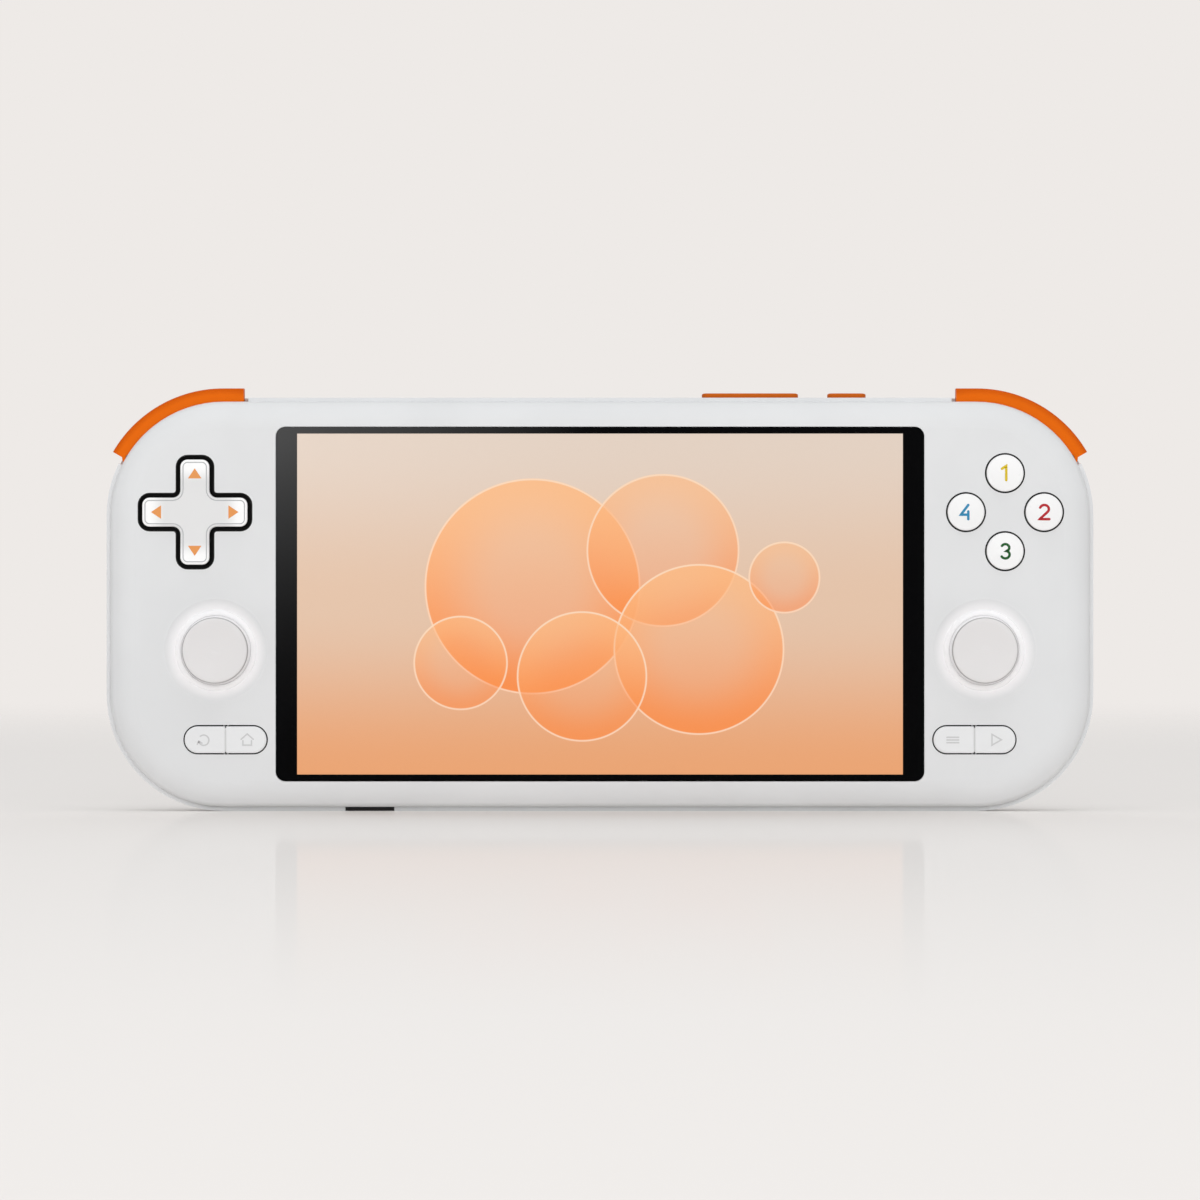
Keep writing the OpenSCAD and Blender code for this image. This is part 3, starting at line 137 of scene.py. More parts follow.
class NodePen:
    """Places shader nodes in one material and links them."""

    def __init__(self, name: str) -> None:
        """Start an empty material.

        Args:
            name: Name of the new material.
        """
        self.material = bpy.data.materials.new(name)
        self.material.use_nodes = True
        self.tree = self.material.node_tree
        self.tree.nodes.clear()
        self.output = self.tree.nodes.new("ShaderNodeOutputMaterial")

    def node(self, kind: str) -> bpy.types.Node:
        """Add one node of a kind."""
        return self.tree.nodes.new(kind)

    def join(self, source: Socket, target: Socket) -> None:
        """Link two sockets."""
        self.tree.links.new(source, target)

    def feed(self, value: Socket | float | tuple, target: Socket) -> None:
        """Link a socket to an input, or set a plain value there.

        Args:
            value: Socket, number or colour with opacity.
            target: Input that takes it.
        """
        if isinstance(value, Socket):
            self.join(value, target)
        else:
            target.default_value = value

    def math(self, operation: str, first: Socket | float, second: Socket | float = 0.0) -> Socket:
        """Add a sum of two values.

        Args:
            operation: Blender's name of the sum.
            first: Socket or number.
            second: Socket or number.

        Returns:
            The result socket.
        """
        node = self.node("ShaderNodeMath")
        node.operation = operation
        for place, value in enumerate((first, second)):
            self.feed(value, node.inputs[place])
        return node.outputs[0]

    def away(self, side: Socket, rise: Socket) -> Socket:
        """Distance made by two offsets that stand square to each other."""
        squares = [self.math("MULTIPLY", offset, offset) for offset in (side, rise)]
        return self.math("SQRT", self.math("ADD", *squares))

    def ramp(self, value: Socket, low: float, high: float, out_low: float, out_high: float,
             smooth: bool = True) -> Socket:
        """Map a value from one span to another, held at the ends.

        Args:
            value: Socket to map.
            low: Start of the span.
            high: End of the span.
            out_low: Result at the start.
            out_high: Result at the end.
            smooth: Whether the change eases in and out.

        Returns:
            The mapped socket.
        """
        node = self.node("ShaderNodeMapRange")
        node.interpolation_type = "SMOOTHSTEP" if smooth else "LINEAR"
        self.join(value, node.inputs["Value"])
        ends = {"From Min": low, "From Max": high, "To Min": out_low, "To Max": out_high}
        for label, number in ends.items():
            node.inputs[label].default_value = number
        return node.outputs[0]

    def mix(self, share: Socket, first: Colour | Socket, second: Colour | Socket) -> Socket:
        """Blend two colours by a share.

        Args:
            share: Zero for the first colour, one for the second.
            first: Colour or socket.
            second: Colour or socket.

        Returns:
            The blended colour socket.
        """
        node = self.node("ShaderNodeMix")
        node.data_type = "RGBA"
        self.join(share, node.inputs["Factor"])
        for label, value in (("A", first), ("B", second)):
            target = [s for s in node.inputs if s.name == label and s.type == "RGBA"][0]
            self.feed(rgba(value) if isinstance(value, tuple) else value, target)
        return [s for s in node.outputs if s.type == "RGBA"][0]

    def place(self) -> tuple[Socket, Socket, Socket]:
        """Give the rest position in millimetres.

        Returns:
            Sockets for X, Y and Z.
        """
        where = self.node("ShaderNodeTexCoord").outputs["Object"]
        scaled = self.node("ShaderNodeVectorMath")
        scaled.operation = "SCALE"
        scaled.inputs["Scale"].default_value = 1 / MM
        self.join(where, scaled.inputs[0])
        split = self.node("ShaderNodeSeparateXYZ")
        self.join(scaled.outputs[0], split.inputs[0])
        return split.outputs[0], split.outputs[1], split.outputs[2]

    def noise(self, pitch_mm: float, detail: float, stretch: Vector = Vector((1, 1, 1))) -> Socket:
        """Add noise with a pitch in millimetres.

        Args:
            pitch_mm: Rough size of one blot.
            detail: Layers of finer noise.
            stretch: Scale along each axis.

        Returns:
            The noise value socket.
        """
        where = self.node("ShaderNodeTexCoord").outputs["Object"]
        mapping = self.node("ShaderNodeMapping")
        mapping.inputs["Scale"].default_value = stretch / (pitch_mm * MM)
        self.join(where, mapping.inputs["Vector"])
        node = self.node("ShaderNodeTexNoise")
        node.inputs["Scale"].default_value = 1.0
        node.inputs["Detail"].default_value = detail
        self.join(mapping.outputs[0], node.inputs["Vector"])
        return node.outputs["Fac"]

    def bump(self, height: Socket, depth_mm: float, strength: float) -> Socket:
        """Turn a height into a surface normal.

        Args:
            height: Height socket from zero to one.
            depth_mm: Depth of the grain.
            strength: Share of the grain that shows.

        Returns:
            The normal socket.
        """
        node = self.node("ShaderNodeBump")
        node.inputs["Distance"].default_value = depth_mm * MM
        node.inputs["Strength"].default_value = strength
        self.join(height, node.inputs["Height"])
        return node.outputs[0]

    def surface(self, **values: Socket | float | tuple) -> bpy.types.Material:
        """Close the material with one principled shader.

        Args:
            **values: Shader inputs by name, with underscores for spaces.

        Returns:
            The finished material.
        """
        shader = self.node("ShaderNodeBsdfPrincipled")
        for label, value in values.items():
            self.feed(value, shader.inputs[label.replace("_", " ")])
        self.join(shader.outputs[0], self.output.inputs["Surface"])
        return self.material


@dataclass(frozen=True)
class Patch:
    """A rectangle in the front view, over a span of depth, in millimetres."""

    low: Point
    high: Point
    front: float = -100.0
    back: float = 100.0

    def share(self, pen: NodePen, place: tuple[Socket, Socket, Socket]) -> Socket:
        """One inside the box and zero outside.

        Args:
            pen: Material being drawn.
            place: X, Y and Z sockets in millimetres.

        Returns:
            The mask socket.
        """
        spans = ((self.low[0], self.high[0]), (self.front, self.back), (self.low[1], self.high[1]))
        inside = None
        for socket, (least, most) in zip(place, spans):
            above = pen.math("GREATER_THAN", socket, least)
            within = pen.math("MULTIPLY", above, pen.math("LESS_THAN", socket, most))
            inside = within if inside is None else pen.math("MULTIPLY", inside, within)
        return inside


@dataclass(frozen=True)
class LightShadeRing:
    """Painted light and shade: another tone that fades with the distance from a spot, the same on both
    sides.
    """

    middle: Point
    start: float
    end: float
    tone: Tone

    def share(self, pen: NodePen, across: Socket, up: Socket) -> Socket:
        """One inside the start radius and zero beyond the end radius.

        Args:
            pen: Material being drawn.
            across: X socket in millimetres.
            up: Z socket in millimetres.

        Returns:
            The mask socket.
        """
        side = pen.math("SUBTRACT", pen.math("ABSOLUTE", across), self.middle[0])
        rise = pen.math("SUBTRACT", up, self.middle[1])
        return pen.ramp(pen.away(side, rise), self.start, self.end, 1, 0)


@dataclass(frozen=True)
class Moulding:
    """Moulded plastic or rubber with a fine grain; it can carry painted shade in wells and on skirts below
    the front face, and a ring of painted light and shade.
    """

    name: str
    tone: Tone
    roughness: float
    grain_mm: float = 0.35
    grain_depth: float = 0.02
    grain_share: float = 0.25
    mottle: float = 0.06
    cloud_mm: float = 18.0
    rough_mm: float = 2.5
    rough_swing: float = 0.03
    ior: float = 1.46
    # Boxes painted with shade, such as the wells round the keys and the card slot.
    wells: tuple[Patch, ...] = ()
    # Paints shade on all that lies below the front face.
    dark_skirt: bool = False
    # Middle of a split where the painted skirt shade is left off, and the half width of that span.
    light_split: float | None = None
    split_half: float = 0.6
    # A ring of painted light and shade round a spot.
    halo: LightShadeRing | None = None

    def make(self) -> bpy.types.Material:
        """Build the material."""
        pen = NodePen(self.name)
        place = pen.place()
        across, deep, up = place
        colour = self.tone.value
        cloud = pen.ramp(pen.noise(self.cloud_mm, 2), 0.3, 0.7, 0, 0.5)
        paint = pen.mix(cloud, colour, shade(colour, 1 - self.mottle))
        # Painted light and shade in a ring, such as the lit stick dish, the shaded cap rim and the shaded
        # bumper edge.
        if self.halo is not None:
            paint = pen.mix(self.halo.share(pen, across, up), paint, self.halo.tone.value)
        # Painted shade in the listed boxes.
        if self.wells:
            inside = self.wells[0].share(pen, place)
            for patch in self.wells[1:]:
                inside = pen.math("MAXIMUM", inside, patch.share(pen, place))
            paint = pen.mix(inside, paint, Tone.WELL.value)
        # Painted shade on all below the front face, except near the split of a pill.
        if self.dark_skirt:
            below = pen.math("GREATER_THAN", deep, SHADE_FROM_Y)
            if self.light_split is not None:
                off = pen.math("SUBTRACT", pen.math("ABSOLUTE", across), self.light_split)
                beside = pen.math("GREATER_THAN", pen.math("ABSOLUTE", off), self.split_half)
                below = pen.math("MULTIPLY", below, beside)
            paint = pen.mix(below, paint, Tone.WELL.value)
        grain = pen.noise(self.grain_mm, 3)
        rough = pen.ramp(pen.noise(self.rough_mm, 3), 0.2, 0.8, self.roughness - self.rough_swing,
                         self.roughness + self.rough_swing)
        return pen.surface(Base_Color=paint, Roughness=rough, IOR=self.ior,
                           Normal=pen.bump(grain, self.grain_depth, self.grain_share))


@dataclass(frozen=True)
class Metal:
    """Drawn, cast or blackened metal with a brushed grain."""

    name: str
    colour: Colour
    roughness: float

    def make(self) -> bpy.types.Material:
        """Build the material."""
        pen = NodePen(self.name)
        lines = pen.noise(0.12, 2, Vector((1, 1, 0.08)))
        tint = pen.mix(pen.ramp(lines, 0.3, 0.7, 0, 0.25), self.colour, shade(self.colour, 0.7))
        rough = pen.ramp(lines, 0.2, 0.8, self.roughness - 0.05, self.roughness + 0.08)
        return pen.surface(Base_Color=tint, Roughness=rough, Metallic=1.0, Normal=pen.bump(lines, 0.01, 0.2))


@dataclass(frozen=True)
class CircuitBoard:
    """Green board with fine lighter tracks."""

    name: str
    colour: Colour

    def make(self) -> bpy.types.Material:
        """Build the material."""
        pen = NodePen(self.name)
        track = pen.ramp(pen.noise(1.6, 1, Vector((1, 1, 0.2))), 0.52, 0.56, 0, 0.5)
        paint = pen.mix(track, self.colour, shade(self.colour, 1.9))
        return pen.surface(Base_Color=paint, Roughness=0.38, Normal=pen.bump(track, 0.03, 0.5))


@dataclass(frozen=True)
class Ink:
    """Satin ink of a printed mark, with fine specks."""

    name: str
    tone: Tone

    def make(self) -> bpy.types.Material:
        """Build the material."""
        pen = NodePen(self.name)
        speck = pen.ramp(pen.noise(0.3, 2), 0.35, 0.75, 0, 0.12)
        paint = pen.mix(speck, self.tone.value, shade(self.tone.value, 0.8))
        return pen.surface(Base_Color=paint, Roughness=0.45)


@dataclass(frozen=True)
class CoverGlass:
    """Polished glass, black round its edge and clear over the picture."""

    name: str
    window: Patch
    film_deep: float = 0.5
    film_share: float = 0.03

    def make(self) -> bpy.types.Material:
        """Build the material."""
        pen = NodePen(self.name)
        place = pen.place()
        clear = self.window.share(pen, place)
        front = pen.math("LESS_THAN", place[1], FACE_Y + self.film_deep)
        film = pen.math("MULTIPLY", front, self.film_share)
        cover = pen.math("MAXIMUM", pen.math("SUBTRACT", 1.0, clear), film)
        haze = pen.ramp(pen.noise(30, 2), 0.3, 0.7, 0.03, 0.06)
        return pen.surface(Base_Color=rgba(Tone.BLACK.value), Roughness=haze, IOR=1.5, Alpha=cover)


@dataclass(frozen=True)
class PictureDisc:
    """One soft disc in the picture on the screen, in millimetres."""

    middle: Point
    radius: float
    strength: float


@dataclass(frozen=True)
class LitPanel:
    """Display panel that shows a warm fade with overlapping soft discs."""

    name: str
    low: float
    high: float
    sky: tuple[Colour, Colour, Colour] = (linear(237, 167, 118), linear(231, 198, 172),
                                          linear(230, 212, 197))
    disc_top: Colour = linear(255, 190, 134)
    disc_low: Colour = linear(254, 140, 64)
    rim: Colour = linear(255, 226, 198)
    soft: float = 0.1
    rim_wide: float = 0.5
    rim_full: float = 0.25
    rim_share: float = 0.8
    discs: tuple[PictureDisc, ...] = (
        PictureDisc((-15, 50), 24, 0.88), PictureDisc((14, 58), 17, 0.7), PictureDisc((22, 36), 19, 0.78),
        PictureDisc((-4, 30), 14.5, 0.7), PictureDisc((-31, 33), 10.5, 0.62), PictureDisc((41, 52), 8, 0.58))

    def make(self) -> bpy.types.Material:
        """Build the material."""
        pen = NodePen(self.name)
        across, _, up = pen.place()
        middle = (self.low + self.high) / 2
        paint = pen.mix(pen.ramp(up, self.low, middle, 0, 1), self.sky[0], self.sky[1])
        paint = pen.mix(pen.ramp(up, middle, self.high, 0, 1), paint, self.sky[2])
        for disc in self.discs:
            paint = self.add_disc(pen, paint, disc, across, up)
        return pen.surface(Base_Color=rgba(Tone.BLACK.value), Roughness=0.12, Emission_Color=paint,
                           Emission_Strength=1.0)

    def add_disc(self, pen: NodePen, paint: Socket, disc: PictureDisc, across: Socket, up: Socket) -> Socket:
        """Lay one disc over the picture.

        Args:
            pen: Material being drawn.
            paint: Colour so far.
            disc: Disc to lay on.
            across: X socket in millimetres.
            up: Z socket in millimetres.

        Returns:
            The colour with the disc on it.
        """
        side = pen.math("SUBTRACT", across, disc.middle[0])
        rise = pen.math("SUBTRACT", up, disc.middle[1])
        away = pen.away(side, rise)
        tint = pen.mix(pen.ramp(rise, -disc.radius, disc.radius, 0, 1), self.disc_low, self.disc_top)
        inside, outside = disc.radius - self.soft, disc.radius + self.soft
        body = pen.ramp(away, inside, outside, disc.strength, 0)
        glow = pen.ramp(away, disc.radius * 0.3, disc.radius, 0.55, 1)
        paint = pen.mix(pen.math("MULTIPLY", body, glow), paint, tint)
        climb = pen.ramp(away, disc.radius - self.rim_wide, disc.radius - self.rim_full, 0, self.rim_share)
        edge = pen.math("MULTIPLY", climb, pen.ramp(away, inside, outside, 1, 0))
        return pen.mix(edge, paint, self.rim)


class MeshPen:
    """Collects points and faces in millimetres and makes one piece of them."""

    def __init__(self) -> None:
        """Start empty."""
        self.points: list[tuple[float, float, float]] = []
        self.faces: list[tuple[int, ...]] = []
        self.marked: set[int] = set()

    def ring(self, points: list[tuple[float, float, float]]) -> list[int]:
        """Add a row of points.

        Args:
            points: Places as X, Y and Z.

        Returns:
            Their numbers.
        """
        start = len(self.points)
        self.points.extend(points)
        return list(range(start, len(self.points)))

    def skin(self, first: list[int], second: list[int], marked: bool = False) -> None:
        """Join two rows of points that run round with faces.

        Args:
            first: Numbers of one row.
            second: Numbers of the next row.
            marked: Whether the faces take the second finish.
        """
        count = len(first)
        for k in range(count):
            after = (k + 1) % count
            if marked:
                self.marked.add(len(self.faces))
            self.faces.append((first[k], first[after], second[after], second[k]))

    def turn(self, middle: Point, profile: list[Point], count: int = 72) -> None:
        """Turn a closed profile round an axis that runs along Y.

        Args:
            middle: X and Z of the axis.
            profile: Radius and depth behind the face for each corner.
            count: Number of steps round.
        """
        rows: list[list[int]] = []
        for k in range(count):
            angle = 2 * math.pi * k / count
            side, rise = math.cos(angle), math.sin(angle)
            row = [(middle[0] + r * side, FACE_Y + d, middle[1] + r * rise) for r, d in profile]
            rows.append(self.ring(row))
        self.weave(rows)

    def weave(self, rows: list[list[int]]) -> None:
        """Join each row to the next, and the last to the first."""
        for first, second in zip(rows, rows[1:] + rows[:1]):
            self.skin(first, second)

    def cap(self, row: list[int], turned: bool = False) -> None:
        """Close a row with one face."""
        self.faces.append(tuple(reversed(row)) if turned else tuple(row))

    def piece(self, name: str, material: bpy.types.Material, body: str, smooth_deg: float = 40,
              second: bpy.types.Material | None = None) -> bpy.types.Object:
        """Make the object, dress it and let it ride on a body.

        Args:
            name: Name of the piece.
            material: Its finish.
            body: Body it moves with.
            smooth_deg: Edges flatter than this are shaded smooth.
            second: Finish of the marked faces.

        Returns:
            The new object.
        """
        mesh = bpy.data.meshes.new(name)
        mesh.from_pydata([Vector(p) * MM for p in self.points], [], self.faces)
        mesh.materials.append(material)
        if second is not None:
            mesh.materials.append(second)
        for number in self.marked:
            mesh.polygons[number].material_index = 1
        self.clean(mesh)
        mesh.shade_smooth()
        mesh.set_sharp_from_angle(angle=math.radians(smooth_deg))
        item = bpy.data.objects.new(name, mesh)
        bpy.context.scene.collection.objects.link(item)
        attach(item, body)
        LOG.info("built %s on %s: %d faces", name, body, len(mesh.polygons))
        return item

    @staticmethod
    def clean(mesh: bpy.types.Mesh) -> None:
        """Join points that lie on each other and turn all faces outwards.

        Args:
            mesh: Mesh to put in order.
        """
        near = 0.001 * MM
        work = bmesh.new()
        work.from_mesh(mesh)
        bmesh.ops.remove_doubles(work, verts=work.verts, dist=near)
        bmesh.ops.dissolve_degenerate(work, edges=work.edges, dist=near)
        bmesh.ops.recalc_face_normals(work, faces=work.faces)
        work.to_mesh(mesh)
        work.free()


@dataclass(frozen=True)
class Stroke:
    """A line of a printed mark, in millimetres from the mark's middle."""

    points: tuple[Point, ...]
    closed: bool = False


@dataclass
class PrintedMark:
    """Thin raised ink on a face that looks towards -Y."""

    name: str
    middle: Point
    face: Callable[[float, float], float]
    ink: bpy.types.Material
    body: str
    slot: str
    width: float = 0.42
    step: float = 0.3
    proud: float = 0.03
    sunk: float = 0.05

    def stepped(self, stroke: Stroke) -> list[Vector]:
        """Cut a stroke into short steps so that it follows a domed face.

        Args:
            stroke: Line to cut.

        Returns:
            The points in order.
        """
        corners = [Vector(p) for p in stroke.points]
        ends = corners[1:] + corners[:1] if stroke.closed else corners[1:]
        found: list[Vector] = []
        for start, end in zip(corners, ends):
            count = max(1, math.ceil((end - start).length / self.step))
            found += [start.lerp(end, k / count) for k in range(count)]
        return found if stroke.closed else found + [corners[-1]]

    def stations(self, stroke: Stroke) -> list[tuple[Vector, Vector, float]]:
        """Give the centre, the side direction and the half width along a stroke.

        Args:
            stroke: Line to follow.

        Returns:
            The stations in order, with rounded ends on an open line.
        """
        line = self.stepped(stroke)
        half = self.width / 2
        count = len(line)
        found: list[tuple[Vector, Vector, float]] = []
        for k, here in enumerate(line):
            before = line[k - 1] if k or stroke.closed else None
            after = line[(k + 1) % count] if k < count - 1 or stroke.closed else None
            steps = [(here - before).normalized()] if before is not None else []
            steps += [(after - here).normalized()] if after is not None else []
            along = sum(steps, Vector((0, 0))).normalized()
            spread = max(0.5, along.dot(steps[0]))
            found.append((here, Vector((-along.y, along.x)), half / spread))
        if stroke.closed:
            return found
        turns = [math.radians(a) for a in (85, 60, 30)]
        start, finish = found[0], found[-1]
        ahead = Vector((start[1].y, -start[1].x))
        onward = Vector((finish[1].y, -finish[1].x))
        head = [(start[0] - ahead * half * math.sin(t), start[1], half * math.cos(t)) for t in turns]
        tail = [(finish[0] + onward * half * math.sin(t), finish[1], half * math.cos(t))
                for t in reversed(turns)]
        return head + found + tail

    def lines(self, strokes: list[Stroke]) -> bpy.types.Object:
        """Draw the mark as strokes.

        Args:
            strokes: Lines of the mark.

        Returns:
            The mark's piece.
        """
        pen = MeshPen()
        for stroke in strokes:
            rows: list[list[int]] = []
            for centre, side, half in self.stations(stroke):
                left = centre + side * half
                right = centre - side * half
                rows.append(pen.ring([self.lift(left, -self.proud), self.lift(right, -self.proud),
                                      self.lift(right, self.sunk), self.lift(left, self.sunk)]))
            if stroke.closed:
                pen.weave(rows)
                continue
            for first, second in zip(rows, rows[1:]):
                pen.skin(first, second)
            pen.cap(rows[0], turned=True)
            pen.cap(rows[-1])
        return pen.piece(self.name, self.ink, self.body)

    def plate(self, outline: list[Point]) -> bpy.types.Object:
        """Draw the mark as one filled shape.

        Args:
            outline: Corners in order.

        Returns:
            The mark's piece.
        """
        pen = MeshPen()
        top = pen.ring([self.lift(Vector(p), -self.proud) for p in outline])
        low = pen.ring([self.lift(Vector(p), self.sunk) for p in outline])
        pen.skin(top, low)
        pen.cap(top, turned=True)
        pen.cap(low)
        return pen.piece(self.name, self.ink, self.body)

    def lift(self, spot: Vector, depth: float) -> tuple[float, float, float]:
        """Place a point of the mark on its face."""
        return self.middle[0] + spot.x, self.face(spot.x, spot.y) + depth, self.middle[1] + spot.y


def arc(middle: Point, radius: float, start: float, end: float, count: int = 12) -> tuple[Point, ...]:
    """Give points on a circle.

    Args:
        middle: Centre of the circle.
        radius: Its radius.
        start: First angle in degrees.
        end: Last angle in degrees.
        count: Number of steps.

    Returns:
        The points in order.
    """
    turns = [math.radians(start + (end - start) * k / count) for k in range(count + 1)]
    return tuple((middle[0] + radius * math.cos(t), middle[1] + radius * math.sin(t)) for t in turns)


def corners_of(low: Point, high: Point) -> tuple[Point, ...]:
    """Corners of a rectangle in order, from its lowest one."""
    return low, (high[0], low[1]), high, (low[0], high[1])


def dress(nodes: list[str], material: bpy.types.Material) -> None:
    """Give nodes of the frame a finish.

    Args:
        nodes: Names of the nodes.
        material: The finish.
    """
    for name in nodes:
        mesh = frame["nodes"][name].data
        mesh.materials.clear()
        mesh.materials.append(material)
        LOG.info("dressed %s with %s", name, material.name)


def middle_of(node: str) -> Point:
    """Middle of a node in the front view, in millimetres."""
    low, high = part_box(node)
    return (low.x + high.x) / 2 / MM, (low.z + high.z) / 2 / MM


def front_of(node: str) -> float:
    """Foremost Y of a node, in millimetres."""
    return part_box(node)[0].y / MM


@dataclass
class Shells:
    """Front and rear shell, with painted shade in the wells round the keys and in the card slot, and painted
    light in the dishes round the sticks, in millimetres.
    """

    pad_long: float = 13.3
    pad_short: float = 4.9
    button_half: float = 5.0
    menu_half: Point = (9.9, 3.8)
    # Radii over which the dish round each stick is painted with light.
    halo_from: float = 8.9
    halo_to: float = 12.0
    # Span of the painted shade in the card slot.
    slot_in: float = 0.45
    slot_top: float = 2.9
    slot_front: float = 3.95
    slot_back: float = 6.3

    def wells(self) -> tuple[Patch, ...]:
        """Find where the front shell is painted with shade below its face.

        Returns:
            One patch for each group of keys.
        """
        pad = middle_of("pad_cap")
        patches = [self.round_about(pad, (self.pad_long, self.pad_short)),
                   self.round_about(pad, (self.pad_short, self.pad_long))]
        for side in ("top", "right", "bottom", "left"):
            spot = middle_of(f"button_{side}")
            patches.append(self.round_about(spot, (self.button_half, self.button_half)))
        for outer, inner in (("return_key", "home_key"), ("start_key", "option_key")):
            left, right = middle_of(outer), middle_of(inner)
            patches.append(self.round_about(((left[0] + right[0]) / 2, left[1]), self.menu_half))
        return tuple(patches)

    @staticmethod
    def round_about(spot: Point, half: Point) -> Patch:
        """Make a patch of painted shade round a spot, below the face."""
        return Patch((spot[0] - half[0], spot[1] - half[1]), (spot[0] + half[0], spot[1] + half[1]), SHADE_FROM_Y)

    def card_slot(self) -> Patch:
        """Find the inside of the card slot in the bottom edge, which is painted with shade."""
        low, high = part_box("card_reader")
        return Patch((low.x / MM + self.slot_in, -1.0), (high.x / MM - self.slot_in, self.slot_top),
                     FACE_Y + self.slot_front, FACE_Y + self.slot_back)

    def dress(self) -> None:
        """Give both shells their finish."""
        # Painted light in the dish round each stick.
        halo = LightShadeRing(middle_of("right_stick_cap"), self.halo_from, self.halo_to, Tone.HALO)
        # Painted shade in the card slot, in both shells.
        slot = self.card_slot()
        front = Moulding("shell_matt_white", Tone.SHELL, 0.52, wells=(*self.wells(), slot), halo=halo)
        rear = Moulding("rear_matt_white", Tone.SHELL, 0.55, grain_share=0.35, wells=(slot,))
        dress(["front_shell"], front.make())
        dress(["rear_shell"], rear.make())


@dataclass
class Screen:
    """Cover glass over a lit display panel, in millimetres."""

    border_side: float = 4.65
    border_end: float = 1.45
    hair_gap: float = 0.03

    def part_panel(self) -> None:
        """Draw the panel in by a hair, so that it shares no face with the glass."""
        pull = frame["nodes"]["display_panel"].modifiers.new("hair_gap", "DISPLACE")
        pull.mid_level = 0.0
        pull.strength = -self.hair_gap * MM

    def dress(self) -> None:
        """Give the glass and the panel their finish."""
        low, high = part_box("cover_glass")
        window = Patch((low.x / MM + self.border_side, low.z / MM + self.border_end),
                       (high.x / MM - self.border_side, high.z / MM - self.border_end))
        dress(["cover_glass"], CoverGlass("cover_glass_black_edge", window).make())
        dress(["display_panel"], LitPanel("panel_warm_picture", window.low[1], window.high[1]).make())
        frame["nodes"]["display_panel"].visible_diffuse = False
        self.part_panel()


